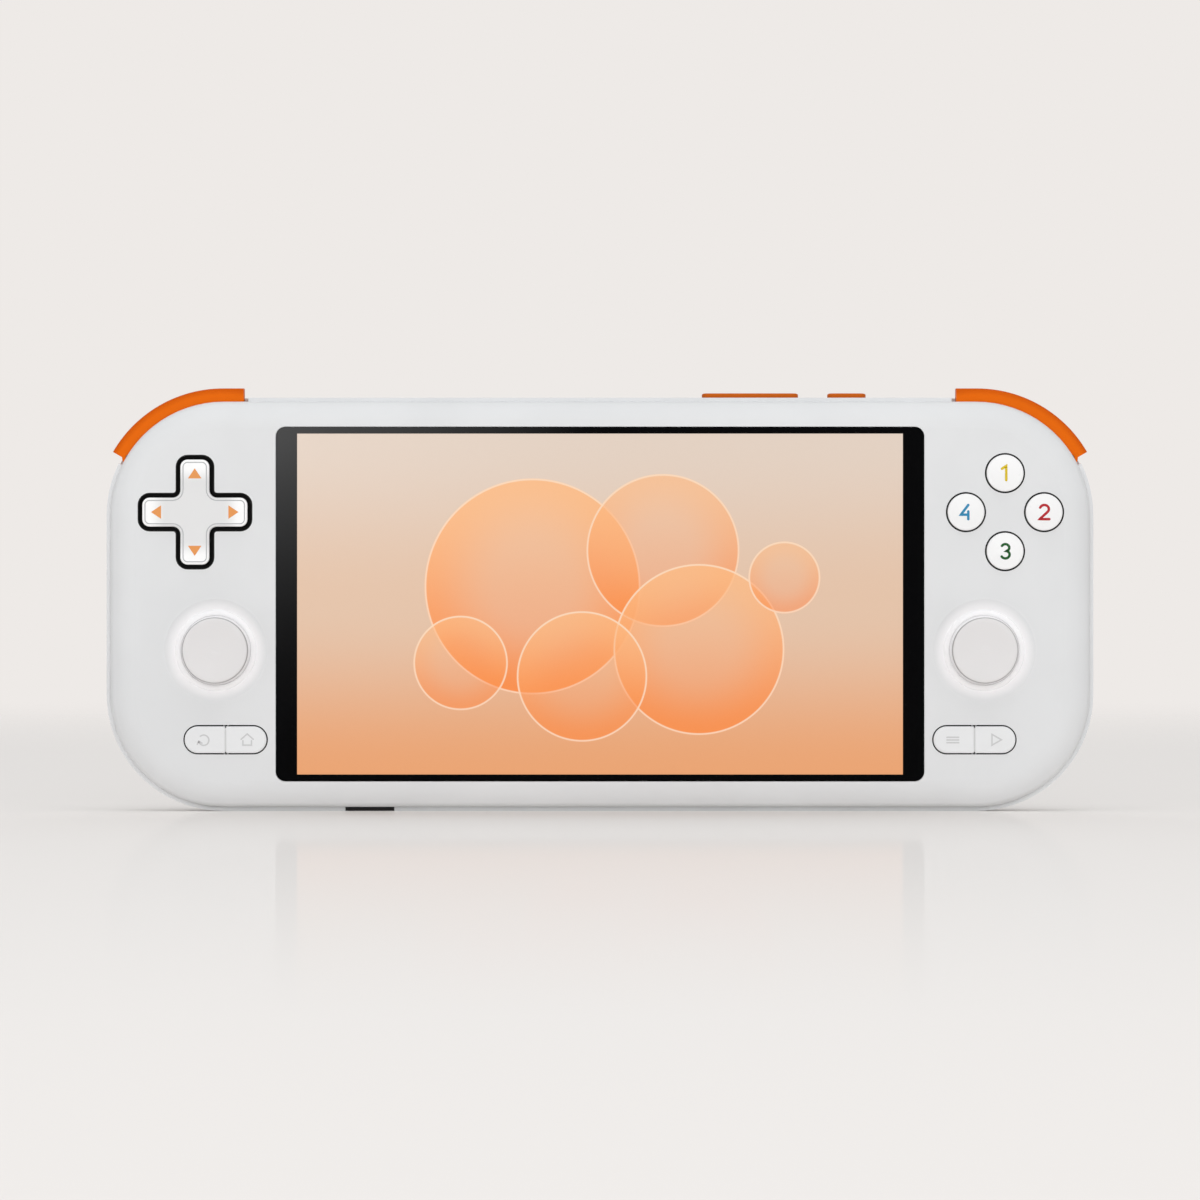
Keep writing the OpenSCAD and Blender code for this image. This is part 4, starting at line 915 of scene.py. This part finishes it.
@dataclass
class DirectionPad:
    """Cross-shaped pad with raised bright arm ends and four printed arrows, in millimetres."""

    reach: float = 11.66
    half_arm: float = 3.21
    corner: float = 1.6
    fillet: float = 1.7
    edge: float = 0.38
    groove: tuple[Point, ...] = ((0.5, 0.0), (0.55, 0.08), (0.69, 0.08), (0.74, 0.0))
    flange_at: float = 4.6
    flange_out: float = 1.5
    flange_t: float = 1.0
    dip: float = 0.28
    dip_from: float = 3.5
    dip_run: float = 5.5
    arrow_at: float = 8.6
    arrow_half: float = 1.5
    arrow_rise: float = 1.12
    # Profile of the black ring that paints shade in the gap round the pad.
    trim: tuple[Point, ...] = ((0.86, 0.4), (0.86, 0.0), (0.9, -0.03), (1.06, -0.03), (1.1, 0.0), (1.1, 0.4))
    rings: int = 5
    arm_steps: int = 6

    def outline(self) -> list[tuple[Vector, Vector]]:
        """Trace the cross.

        Returns:
            Points with their outward directions, all the way round.
        """
        bend = self.half_arm + self.fillet
        tip = self.reach - self.corner
        shoulder = self.half_arm - self.corner
        arm: list[tuple[Vector, Vector]] = []
        for angle in (135, 120, 105, 90):
            way = self.heading(angle)
            arm.append((Vector((bend, -bend)) + way * self.fillet, -way))
        for k in range(1, self.arm_steps):
            arm.append((Vector((bend + (tip - bend) * k / self.arm_steps, -self.half_arm)), Vector((0, -1))))
        for angle in range(-90, 1, 15):
            way = self.heading(angle)
            arm.append((Vector((tip, -shoulder)) + way * self.corner, way))
        arm.append((Vector((self.reach, -shoulder / 3)), Vector((1, 0))))
        arm += [(Vector((spot.x, -spot.y)), Vector((way.x, -way.y))) for spot, way in reversed(arm)]
        return [(self.turned(spot, quarter), self.turned(way, quarter))
                for quarter in range(4) for spot, way in arm[:-1]]

    @staticmethod
    def heading(angle: float) -> Vector:
        """Direction at an angle in degrees."""
        return Vector((math.cos(math.radians(angle)), math.sin(math.radians(angle))))

    @staticmethod
    def turned(spot: Vector, quarters: int) -> Vector:
        """Turn a point by quarter turns."""
        for _ in range(quarters):
            spot = Vector((-spot.y, spot.x))
        return spot

    def height(self, spot: Vector, top: float) -> float:
        """Depth of the top face at a spot: lower in the middle, raised at the arm ends.

        Args:
            spot: Place from the middle of the pad.
            top: Foremost depth.

        Returns:
            The Y of the face.
        """
        far = max(abs(spot.x), abs(spot.y))
        share = min(1.0, max(0.0, (far - self.dip_from) / self.dip_run))
        return top + self.dip * (1 - share * share * (3 - 2 * share))

    def spine(self, spot: Vector) -> Vector:
        """Nearest place on the middle lines of the arms.

        Args:
            spot: Place on the outline.

        Returns:
            The place on the middle line.
        """
        long = min(self.reach - self.half_arm, max(0.0, abs(abs(spot.x) - abs(spot.y))))
        if abs(spot.x) > abs(spot.y):
            return Vector((math.copysign(long, spot.x), 0))
        return Vector((0, math.copysign(long, spot.y)))

    def build(self) -> None:
        """Make the finer pad, its black ring of painted shade and its arrows."""
        middle = middle_of("pad_cap")
        top = front_of("pad_cap")
        flange = top + self.flange_at
        trace = self.outline()
        pen = MeshPen()

        def loop(out: float, depth: Callable[[Vector], float]) -> list[int]:
            """Add the outline moved out or in, at a depth."""
            spots = [spot + way * out for spot, way in trace]
            return pen.ring([(middle[0] + s.x, depth(s), middle[1] + s.y) for s in spots])

        rows = [loop(self.flange_out, lambda s: flange + self.flange_t),
                loop(self.flange_out, lambda s: flange), loop(0, lambda s: flange),
                loop(0, lambda s: self.height(s, top) + self.edge)]
        for angle in (22.5, 45, 67.5, 90):
            lean = math.radians(angle)
            inward = -self.edge * (1 - math.cos(lean))
            drop = self.edge * (1 - math.sin(lean))
            rows.append(loop(inward, lambda s, d=drop: self.height(s, top) + d))
        for inset, sunk in self.groove:
            rows.append(loop(-inset, lambda s, d=sunk: self.height(s, top) + d))
        pen.cap(rows[0])
        plain = len(rows) - len(self.groove)
        for place, (first, second) in enumerate(zip(rows, rows[1:])):
            pen.skin(second, first, marked=place >= plain)
        inner = [spot - way * self.groove[-1][0] for spot, way in trace]
        last = rows[-1]
        for k in range(1, self.rings + 1):
            share = k / self.rings
            spots = [a.lerp(self.spine(a), share) for a in inner]
            row = pen.ring([(middle[0] + s.x, self.height(s, top), middle[1] + s.y) for s in spots])
            pen.skin(row, last)
            last = row
        # The groove round the pad's face is painted grey as shade.
        line = Moulding("pad_groove_shade_grey", Tone.GROOVE, 0.5).make()
        item = pen.piece("pad_cap_fine", PadFinish("pad_satin_white", middle).make(), "pad", 50, line)
        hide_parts("pad_cap")
        self.build_trim(middle, trace)
        ink = Ink("arrow_orange_ink", Tone.ARROW).make()
        for quarter, label in enumerate(("right", "up", "left", "down")):
            corners = [Vector((self.arrow_at + self.arrow_rise, 0)),
                       Vector((self.arrow_at - self.arrow_rise, self.arrow_half)),
                       Vector((self.arrow_at - self.arrow_rise, -self.arrow_half))]
            spots = [self.turned(c, quarter) for c in corners]
            mark = PrintedMark(f"pad_arrow_{label}", middle, lambda x, z: self.height(Vector((x, z)), top),
                               ink, "pad", "accent")
            mark.plate([(s.x, s.y) for s in reversed(spots)])

    def build_trim(self, middle: Point, trace: list[tuple[Vector, Vector]]) -> None:
        """Lay a thin black ring of painted shade round the opening in the shell.

        Args:
            middle: Middle of the pad.
            trace: Outline of the cross with its outward directions.
        """
        pen = MeshPen()
        rows: list[list[int]] = []
        for out, deep in self.trim:
            spots = [spot + way * out for spot, way in trace]
            rows.append(pen.ring([(middle[0] + s.x, FACE_Y + deep, middle[1] + s.y) for s in spots]))
        pen.weave(rows)
        pen.piece("pad_shade_ring", Moulding("pad_shade_ring_black", Tone.WELL, 0.5).make(), "chassis")


@dataclass(frozen=True)
class PadFinish:
    """Satin white that is brighter at the ends of the arms, with painted shade below the face."""

    name: str
    middle: Point
    bright_from: float = 6.4
    bright_to: float = 10.2
    # Depth from which the pad is painted with shade.
    dark_deep: float = 0.15

    def make(self) -> bpy.types.Material:
        """Build the material."""
        pen = NodePen(self.name)
        across, deep, up = pen.place()
        side = pen.math("ABSOLUTE", pen.math("SUBTRACT", across, self.middle[0]))
        rise = pen.math("ABSOLUTE", pen.math("SUBTRACT", up, self.middle[1]))
        far = pen.math("MAXIMUM", side, rise)
        bright = pen.ramp(far, self.bright_from, self.bright_to, 0, 1)
        paint = pen.mix(bright, Tone.PAD_MIDDLE.value, Tone.PAD_END.value)
        # Painted shade on the pad below its face.
        paint = pen.mix(pen.math("GREATER_THAN", deep, FACE_Y + self.dark_deep), paint, Tone.WELL.value)
        grain = pen.noise(0.3, 2)
        return pen.surface(Base_Color=paint, Roughness=0.4, IOR=1.46, Normal=pen.bump(grain, 0.012, 0.2))


@dataclass
class FaceButtons:
    """Four round buttons with a plain numeral each, in millimetres."""

    crown: float = 16.0
    stroke: float = 0.56
    tall: float = 0.9
    # Profile of the black rings that paint shade in the gaps round the buttons.
    trim: tuple[Point, ...] = ((4.3, 0.4), (4.3, 0.0), (4.32, -0.02), (4.45, -0.02), (4.47, 0.0),
                               (4.47, 0.4))

    def numerals(self) -> dict[str, tuple[Tone, list[Stroke]]]:
        """Draw the numerals.

        Returns:
            Ink and strokes for each button.
        """
        two = arc((0, 0.75), 1.0, 160, -40, 10) + ((-1.05, -1.75), (1.1, -1.75))
        upper = arc((0, 0.85), 0.88, 150, -85, 10)
        lower = arc((0, -0.85), 0.95, 88, -150, 12)
        return {
            "button_top": (Tone.YELLOW_INK, [Stroke(((-0.75, 1.05), (0.2, 1.75), (0.2, -1.75)))]),
            "button_right": (Tone.RED_INK, [Stroke(two)]),
            "button_bottom": (Tone.GREEN_INK, [Stroke(upper + lower[1:])]),
            "button_left": (Tone.BLUE_INK, [Stroke(((0.45, 1.75), (-1.2, -0.65), (0.16, -0.65))),
                                            Stroke(((0.45, 0.15), (0.45, -1.75)))]),
        }

    def build(self) -> None:
        """Dress the buttons, print their numerals and lay the black rings of painted shade round them."""
        # Painted shade on the buttons' skirts below the face.
        plastic = Moulding("button_satin_white", Tone.KEY, 0.3, grain_depth=0.008, dark_skirt=True).make()
        for node, (tone, strokes) in self.numerals().items():
            dress([node], plastic)
            top = front_of(node)
            ink = Ink(f"{node}_ink", tone).make()
            mark = PrintedMark(f"{node}_numeral", middle_of(node), lambda x, z, t=top: self.face(t, x, z),
                               ink, node, "key", width=self.stroke)
            mark.lines([Stroke(tuple((x, z * self.tall) for x, z in s.points), s.closed) for s in strokes])
        pen = MeshPen()
        for node in self.numerals():
            pen.turn(middle_of(node), list(self.trim))
        pen.piece("button_shade_rings", Moulding("button_shade_ring_black", Tone.WELL, 0.5).make(), "chassis")

    def face(self, top: float, x: float, z: float) -> float:
        """Y of the domed top of a button."""
        return top + self.crown - math.sqrt(self.crown ** 2 - x * x - z * z)


@dataclass
class MenuKeys:
    """Two split pills of small keys with faint pictograms, in millimetres."""

    stroke: float = 0.32
    rib_air: float = 0.03
    rib_short: float = 1.3
    rib_sunk: float = 0.03
    rib_back: float = 1.2

    def build(self) -> None:
        """Dress the keys, print their pictograms and add the ribs."""
        split = abs(middle_of("start_key")[0] + middle_of("option_key")[0]) / 2
        # Painted shade on the keys' skirts below the face, left off near the split of each pill.
        plastic = Moulding("menu_key_white", Tone.MENU_KEY, 0.45, grain_depth=0.01, dark_skirt=True,
                           light_split=split).make()
        ink = Ink("menu_grey_ink", Tone.GREY_INK).make()
        bend = arc((0, -0.1), 1.15, 200, 490, 16)
        signs: dict[str, tuple[float, list[Stroke]]] = {
            "return_key": (0.3, [Stroke(bend), Stroke(((-1.45, -1.0), (-1.1, -0.3), (-0.4, -0.75)))]),
            "home_key": (-0.3, [Stroke(((-1.35, 0.1), (0, 1.3), (1.35, 0.1))),
                                Stroke(((-0.95, -0.2), (-0.95, -1.2), (0.95, -1.2), (0.95, -0.2)))]),
            "option_key": (0.3, [Stroke(((-1.3, z), (1.3, z))) for z in (0.55, -0.05, -0.65)]),
            "start_key": (-0.3, [Stroke(((-0.95, 1.2), (1.15, 0), (-0.95, -1.2)), closed=True)]),
        }
        for node, (shift, strokes) in signs.items():
            dress([node], plastic)
            across, up = middle_of(node)
            top = front_of(node)
            mark = PrintedMark(f"{node}_sign", (across + shift, up), lambda x, z, t=top: t, ink, node, "key",
                               width=self.stroke)
            mark.lines(strokes)
        self.rib("left", "return_key", "home_key")
        self.rib("right", "option_key", "start_key")

    def rib(self, side: str, first: str, second: str) -> None:
        """Stand a thin pale rib in the slot between two keys; its grey is painted shade for the slot.

        Args:
            side: Left or right.
            first: Node on the left of the slot.
            second: Node on its right.
        """
        low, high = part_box(first)
        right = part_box(second)[0].x / MM
        left = high.x / MM
        corners = corners_of((left + self.rib_air, low.z / MM + self.rib_short),
                             (right - self.rib_air, high.z / MM - self.rib_short))
        pen = MeshPen()
        rows = [pen.ring([(x, y, z) for x, z in corners])
                for y in (front_of(first) + self.rib_sunk, FACE_Y + self.rib_back)]
        pen.skin(rows[1], rows[0])
        pen.cap(rows[0])
        pen.cap(rows[1], turned=True)
        # The rib's grey is painted shade for the slot.
        finish = Moulding(f"rib_{side}_grey", Tone.RIB, 0.5).make()
        pen.piece(f"menu_rib_{side}", finish, "chassis")


@dataclass
class ThumbSticks:
    """Two sticks in millimetres: a soft cap on a white dome, and a thin white lip round the dome."""

    sides: tuple[str, str] = ("left", "right")
    ball_deep: float = 5.8
    ball_r: float = 9.5
    # Radii over which the rim of each cap is painted with shade.
    rim_from: float = 7.05
    rim_to: float = 7.2
    lip_back: float = 1.75
    lip_air: float = 0.06
    lip_inside: tuple[float, ...] = (1.75, 1.35, 1.0, 0.6, 0.25)
    lip_crest: tuple[Point, ...] = ((7.8, 0.11), (8.0, 0.05), (8.25, 0.06), (8.45, 0.2), (8.6, 0.33),
                                    (8.8, 0.43), (8.98, 0.65), (9.1, 1.0))

    def dome_r(self, deep: float) -> float:
        """Radius of the dome at a depth behind the face."""
        return math.sqrt(self.ball_r ** 2 - (self.ball_deep - deep) ** 2)

    def lip(self, side: str, material: bpy.types.Material) -> None:
        """Turn the lip round one stick.

        Args:
            side: Left or right.
            material: Its finish.
        """
        middle = middle_of(f"{side}_stick_cap")
        inner = [(self.dome_r(deep) + self.lip_air, deep) for deep in self.lip_inside]
        outline = [*inner, *self.lip_crest, (self.lip_crest[-1][0], self.lip_back)]
        pen = MeshPen()
        pen.turn(middle, outline)
        pen.piece(f"{side}_stick_lip", material, "chassis", smooth_deg=60)

    def dress(self) -> None:
        """Give caps and domes their finish, with painted shade on the caps' rims, and add the lips."""
        # Painted shade on the rim of each cap.
        halo = LightShadeRing(middle_of("right_stick_cap"), self.rim_to, self.rim_from, Tone.CAP_RIM)
        cap = Moulding("stick_soft_grey", Tone.CAP, 0.75, grain_mm=0.25, grain_depth=0.03, grain_share=0.35,
                       halo=halo).make()
        dome = Moulding("dome_gloss_white", Tone.DOME, 0.22, grain_share=0.05).make()
        dress([f"{side}_stick_cap" for side in self.sides], cap)
        dress([f"{side}_stick_dome" for side in self.sides], dome)
        for side in self.sides:
            self.lip(side, dome)


@dataclass
class ShoulderKeys:
    """Orange bumpers, white triggers, and the orange keys on the top edge, in millimetres."""

    # Middle and radii of the painted shade on the bumpers' outer edge.
    arc_middle: Point = (84.13, 65.87)
    arc_edge: float = 28.4
    arc_plain: float = 26.6

    def dress(self) -> None:
        """Give the shoulder and top keys their finish, with painted shade on the bumpers' outer edge."""
        # Painted shade: the bumpers darken towards their outer edge.
        edge = LightShadeRing(self.arc_middle, self.arc_edge, self.arc_plain, Tone.ORANGE_EDGE)
        orange = Moulding("bumper_satin_orange", Tone.ORANGE, 0.4, grain_depth=0.01, ior=1.2,
                          halo=edge).make()
        top = Moulding("top_key_orange", Tone.TOP_ORANGE, 0.4, grain_depth=0.01, ior=1.2).make()
        white = Moulding("trigger_satin_white", Tone.SHELL, 0.42, grain_depth=0.012).make()
        dress(["left_bumper", "right_bumper"], orange)
        dress(["volume_rocker", "power_key"], top)
        dress(["left_trigger", "right_trigger"], white)


class InnerKind(Enum):
    """Finishes of the parts inside, by the record's slot."""

    FRAME = Metal("cast_frame", (0.36, 0.37, 0.39), 0.45)
    STEEL = Metal("bright_steel", (0.55, 0.56, 0.58), 0.28)
    COPPER = Metal("bare_copper", (0.68, 0.3, 0.16), 0.32)
    SCREW = Metal("black_screw", (0.08, 0.08, 0.085), 0.36)
    BOARD = CircuitBoard("green_board", (0.008, 0.07, 0.03))
    DARK = Moulding("black_moulding", Tone.BLACK, 0.5)
    MEMBRANE = Moulding("grey_silicone", Tone.WELL, 0.6)


@dataclass
class InnerParts:
    """Boards, battery, fan, sockets and screws."""

    done: tuple[str, ...] = ("shell", "key", "stick_cap", "accent", "top_accent", "glass", "panel")
    groups: dict[str, list[str]] = field(default_factory=dict)

    def dress(self) -> None:
        """Give every other node the finish of its slot."""
        for part in frame["record"]["subparts"]:
            if part["material_slot"] not in self.done:
                self.groups.setdefault(part["material_slot"], []).append(part["node"])
        for slot, nodes in self.groups.items():
            dress(nodes, InnerKind[slot.upper()].value.make())


@dataclass
class Studio:
    """Pale floor and backdrop, soft light and the camera, in metres."""

    distance: float = 1.6
    frame_width: float = 0.26667
    eye_height: float = 0.047
    sensor: float = 36.0
    floor_half: float = 3.0
    floor_tone: Colour = (0.96, 0.925, 0.898)
    floor_clear: Point = (0.5, 1.8)
    floor_gloss: float = 0.2
    gloss_reach: float = 0.8
    gloss_rough: float = 0.06
    ambient: float = 0.5
    ambient_tone: Colour = (0.965, 0.985, 1.0)
    card_behind: float = 0.15
    card_step: float = 0.02
    black_span: tuple[Point, Point] = ((-0.6, -0.3), (0.6, 0.5))
    pale_span: tuple[Point, Point] = ((-0.3, -0.04), (0.0, 0.2))
    pale_rise_mm: Point = (-40.0, 121.0)
    pale_fall_mm: Point = (-145.0, -8.0)
    pale_curve: float = 3.0
    pale_glow: float = 1.8
    lamps: tuple[tuple[str, Vector, float, float], ...] = (
        ("overhead", Vector((0.0, -0.4, 3.0)), 3.0, 25.0),
        ("front_left", Vector((-1.6, -2.6, 1.5)), 1.8, 6.0),
        ("front_right", Vector((1.6, -2.6, 1.5)), 1.8, 6.0),
        ("front_low", Vector((0.0, -3.2, 0.3)), 2.0, 43.0),
        ("back", Vector((0.0, 2.4, 1.8)), 1.8, 8.0))

    def build(self) -> None:
        """Set the view, the light, the floor and the camera."""
        bpy.context.scene.view_settings.view_transform = "Standard"
        self.build_world()
        self.build_floor()
        self.build_lamps()
        self.build_cards()
        self.build_camera()

    def build_world(self) -> None:
        """Pale backdrop for what looks at it, and even light for the rest."""
        world = bpy.data.worlds.new("pale_backdrop")
        world.use_nodes = True
        tree = world.node_tree
        tree.nodes.clear()
        path = tree.nodes.new("ShaderNodeLightPath")
        seen = path.outputs["Is Camera Ray"]
        for label in ("Is Glossy Ray", "Is Transmission Ray"):
            both = tree.nodes.new("ShaderNodeMath")
            both.operation = "MAXIMUM"
            tree.links.new(seen, both.inputs[0])
            tree.links.new(path.outputs[label], both.inputs[1])
            seen = both.outputs[0]
        light = tree.nodes.new("ShaderNodeBackground")
        light.inputs["Color"].default_value = rgba(self.ambient_tone)
        light.inputs["Strength"].default_value = self.ambient
        backdrop = tree.nodes.new("ShaderNodeBackground")
        backdrop.inputs["Color"].default_value = rgba(Tone.BACKDROP.value)
        choose = tree.nodes.new("ShaderNodeMixShader")
        tree.links.new(seen, choose.inputs[0])
        tree.links.new(light.outputs[0], choose.inputs[1])
        tree.links.new(backdrop.outputs[0], choose.inputs[2])
        out = tree.nodes.new("ShaderNodeOutputWorld")
        tree.links.new(choose.outputs[0], out.inputs["Surface"])
        bpy.context.scene.world = world

    def plane(self, name: str, corners: list[Vector], material: bpy.types.Material) -> bpy.types.Object:
        """Add a flat sheet to the studio.

        Args:
            name: Name of the sheet.
            corners: Its corners in order.
            material: Its finish.

        Returns:
            The sheet.
        """
        mesh = bpy.data.meshes.new(name)
        mesh.from_pydata(corners, [], [tuple(range(len(corners)))])
        mesh.materials.append(material)
        item = bpy.data.objects.new(name, mesh)
        bpy.context.scene.collection.objects.link(item)
        return item

    def build_floor(self) -> None:
        """Pale floor with a faint gloss before the console, clear far off so that it meets the backdrop."""
        pen = NodePen("pale_floor")
        across, deep, _ = pen.place()
        matt = pen.node("ShaderNodeBsdfDiffuse")
        matt.inputs["Color"].default_value = rgba(self.floor_tone)
        gloss = pen.node("ShaderNodeBsdfGlossy")
        gloss.inputs["Roughness"].default_value = self.gloss_rough
        share = pen.ramp(deep, -self.gloss_reach / MM, 0, 0, self.floor_gloss, smooth=False)
        both = self.blend(pen, share, matt, gloss)
        gone = pen.ramp(pen.away(across, deep), self.floor_clear[0] / MM, self.floor_clear[1] / MM, 0, 1)
        whole = self.blend(pen, gone, both, pen.node("ShaderNodeBsdfTransparent"))
        pen.join(whole.outputs[0], pen.output.inputs["Surface"])
        half = self.floor_half
        spots = corners_of((-half, -half), (half, half))
        floor = self.plane("floor", [Vector((x, y, 0)) for x, y in spots], pen.material)
        floor.visible_glossy = False

    @staticmethod
    def blend(pen: NodePen, share: Socket, first: bpy.types.Node, second: bpy.types.Node) -> bpy.types.Node:
        """Mix two shaders.

        Args:
            pen: Material being drawn.
            share: Zero for the first shader, one for the second.
            first: Shader node.
            second: Shader node.

        Returns:
            The mixing node.
        """
        mixed = pen.node("ShaderNodeMixShader")
        pen.join(share, mixed.inputs[0])
        pen.join(first.outputs[0], mixed.inputs[1])
        pen.join(second.outputs[0], mixed.inputs[2])
        return mixed

    def build_lamps(self) -> None:
        """Large soft lamps that look at the console."""
        aim = Vector((0, 0, self.eye_height))
        for name, spot, size, power in self.lamps:
            data = bpy.data.lights.new(name, "AREA")
            data.shape = "DISK"
            data.size = size
            data.energy = power
            lamp = bpy.data.objects.new(name, data)
            lamp.location = spot
            lamp.rotation_euler = (aim - spot).to_track_quat("-Z", "Y").to_euler()
            lamp.visible_glossy = False
            bpy.context.scene.collection.objects.link(lamp)

    def build_cards(self) -> None:
        """Black card behind the camera and a soft pale one at its upper left, both seen only in gloss."""
        back = -self.distance - self.card_behind
        black = NodePen("black_card").surface(Base_Color=rgba(Tone.BLACK.value), Roughness=1.0, IOR=1.0)
        self.card("black_card", self.black_span, back, black)
        pen = NodePen("pale_card")
        across, _, up = pen.place()
        glow = pen.node("ShaderNodeEmission")
        rise = pen.math("POWER", pen.ramp(up, *self.pale_rise_mm, 0, 1, smooth=False), self.pale_curve)
        fall = pen.ramp(across, *self.pale_fall_mm, self.pale_glow, 0, smooth=False)
        pen.join(pen.math("MULTIPLY", rise, fall), glow.inputs["Strength"])
        pen.join(glow.outputs[0], pen.output.inputs["Surface"])
        self.card("pale_card", self.pale_span, back + self.card_step, pen.material)

    def card(self, name: str, span: tuple[Point, Point], deep: float, material: bpy.types.Material) -> None:
        """Stand a card square to the view and hide it from everything but reflections.

        Args:
            name: Name of the card.
            span: X and Z of its lowest and highest corner.
            deep: Its Y.
            material: Its finish.
        """
        item = self.plane(name, [Vector((x, deep, z)) for x, z in corners_of(*span)], material)
        item.visible_camera = False
        item.visible_diffuse = False
        item.visible_shadow = False
        item.visible_transmission = False

    def build_camera(self) -> None:
        """Long lens, straight on, as in the photograph."""
        data = bpy.data.cameras.new("front_view")
        data.sensor_width = self.sensor
        data.lens = self.sensor * self.distance / self.frame_width
        camera = bpy.data.objects.new("front_view", data)
        camera.location = (0, FACE_Y * MM - self.distance, self.eye_height)
        camera.rotation_euler = (math.radians(90), 0, 0)
        bpy.context.scene.collection.objects.link(camera)
        bpy.context.scene.camera = camera


def main() -> None:
    """Build the console's looks in order."""
    logging.basicConfig(level=logging.INFO, format="%(name)s: %(message)s")
    InnerParts().dress()
    Shells().dress()
    Screen().dress()
    DirectionPad().build()
    FaceButtons().build()
    MenuKeys().build()
    ThumbSticks().dress()
    ShoulderKeys().dress()
    Studio().build()


if __name__ == "__main__":
    main()
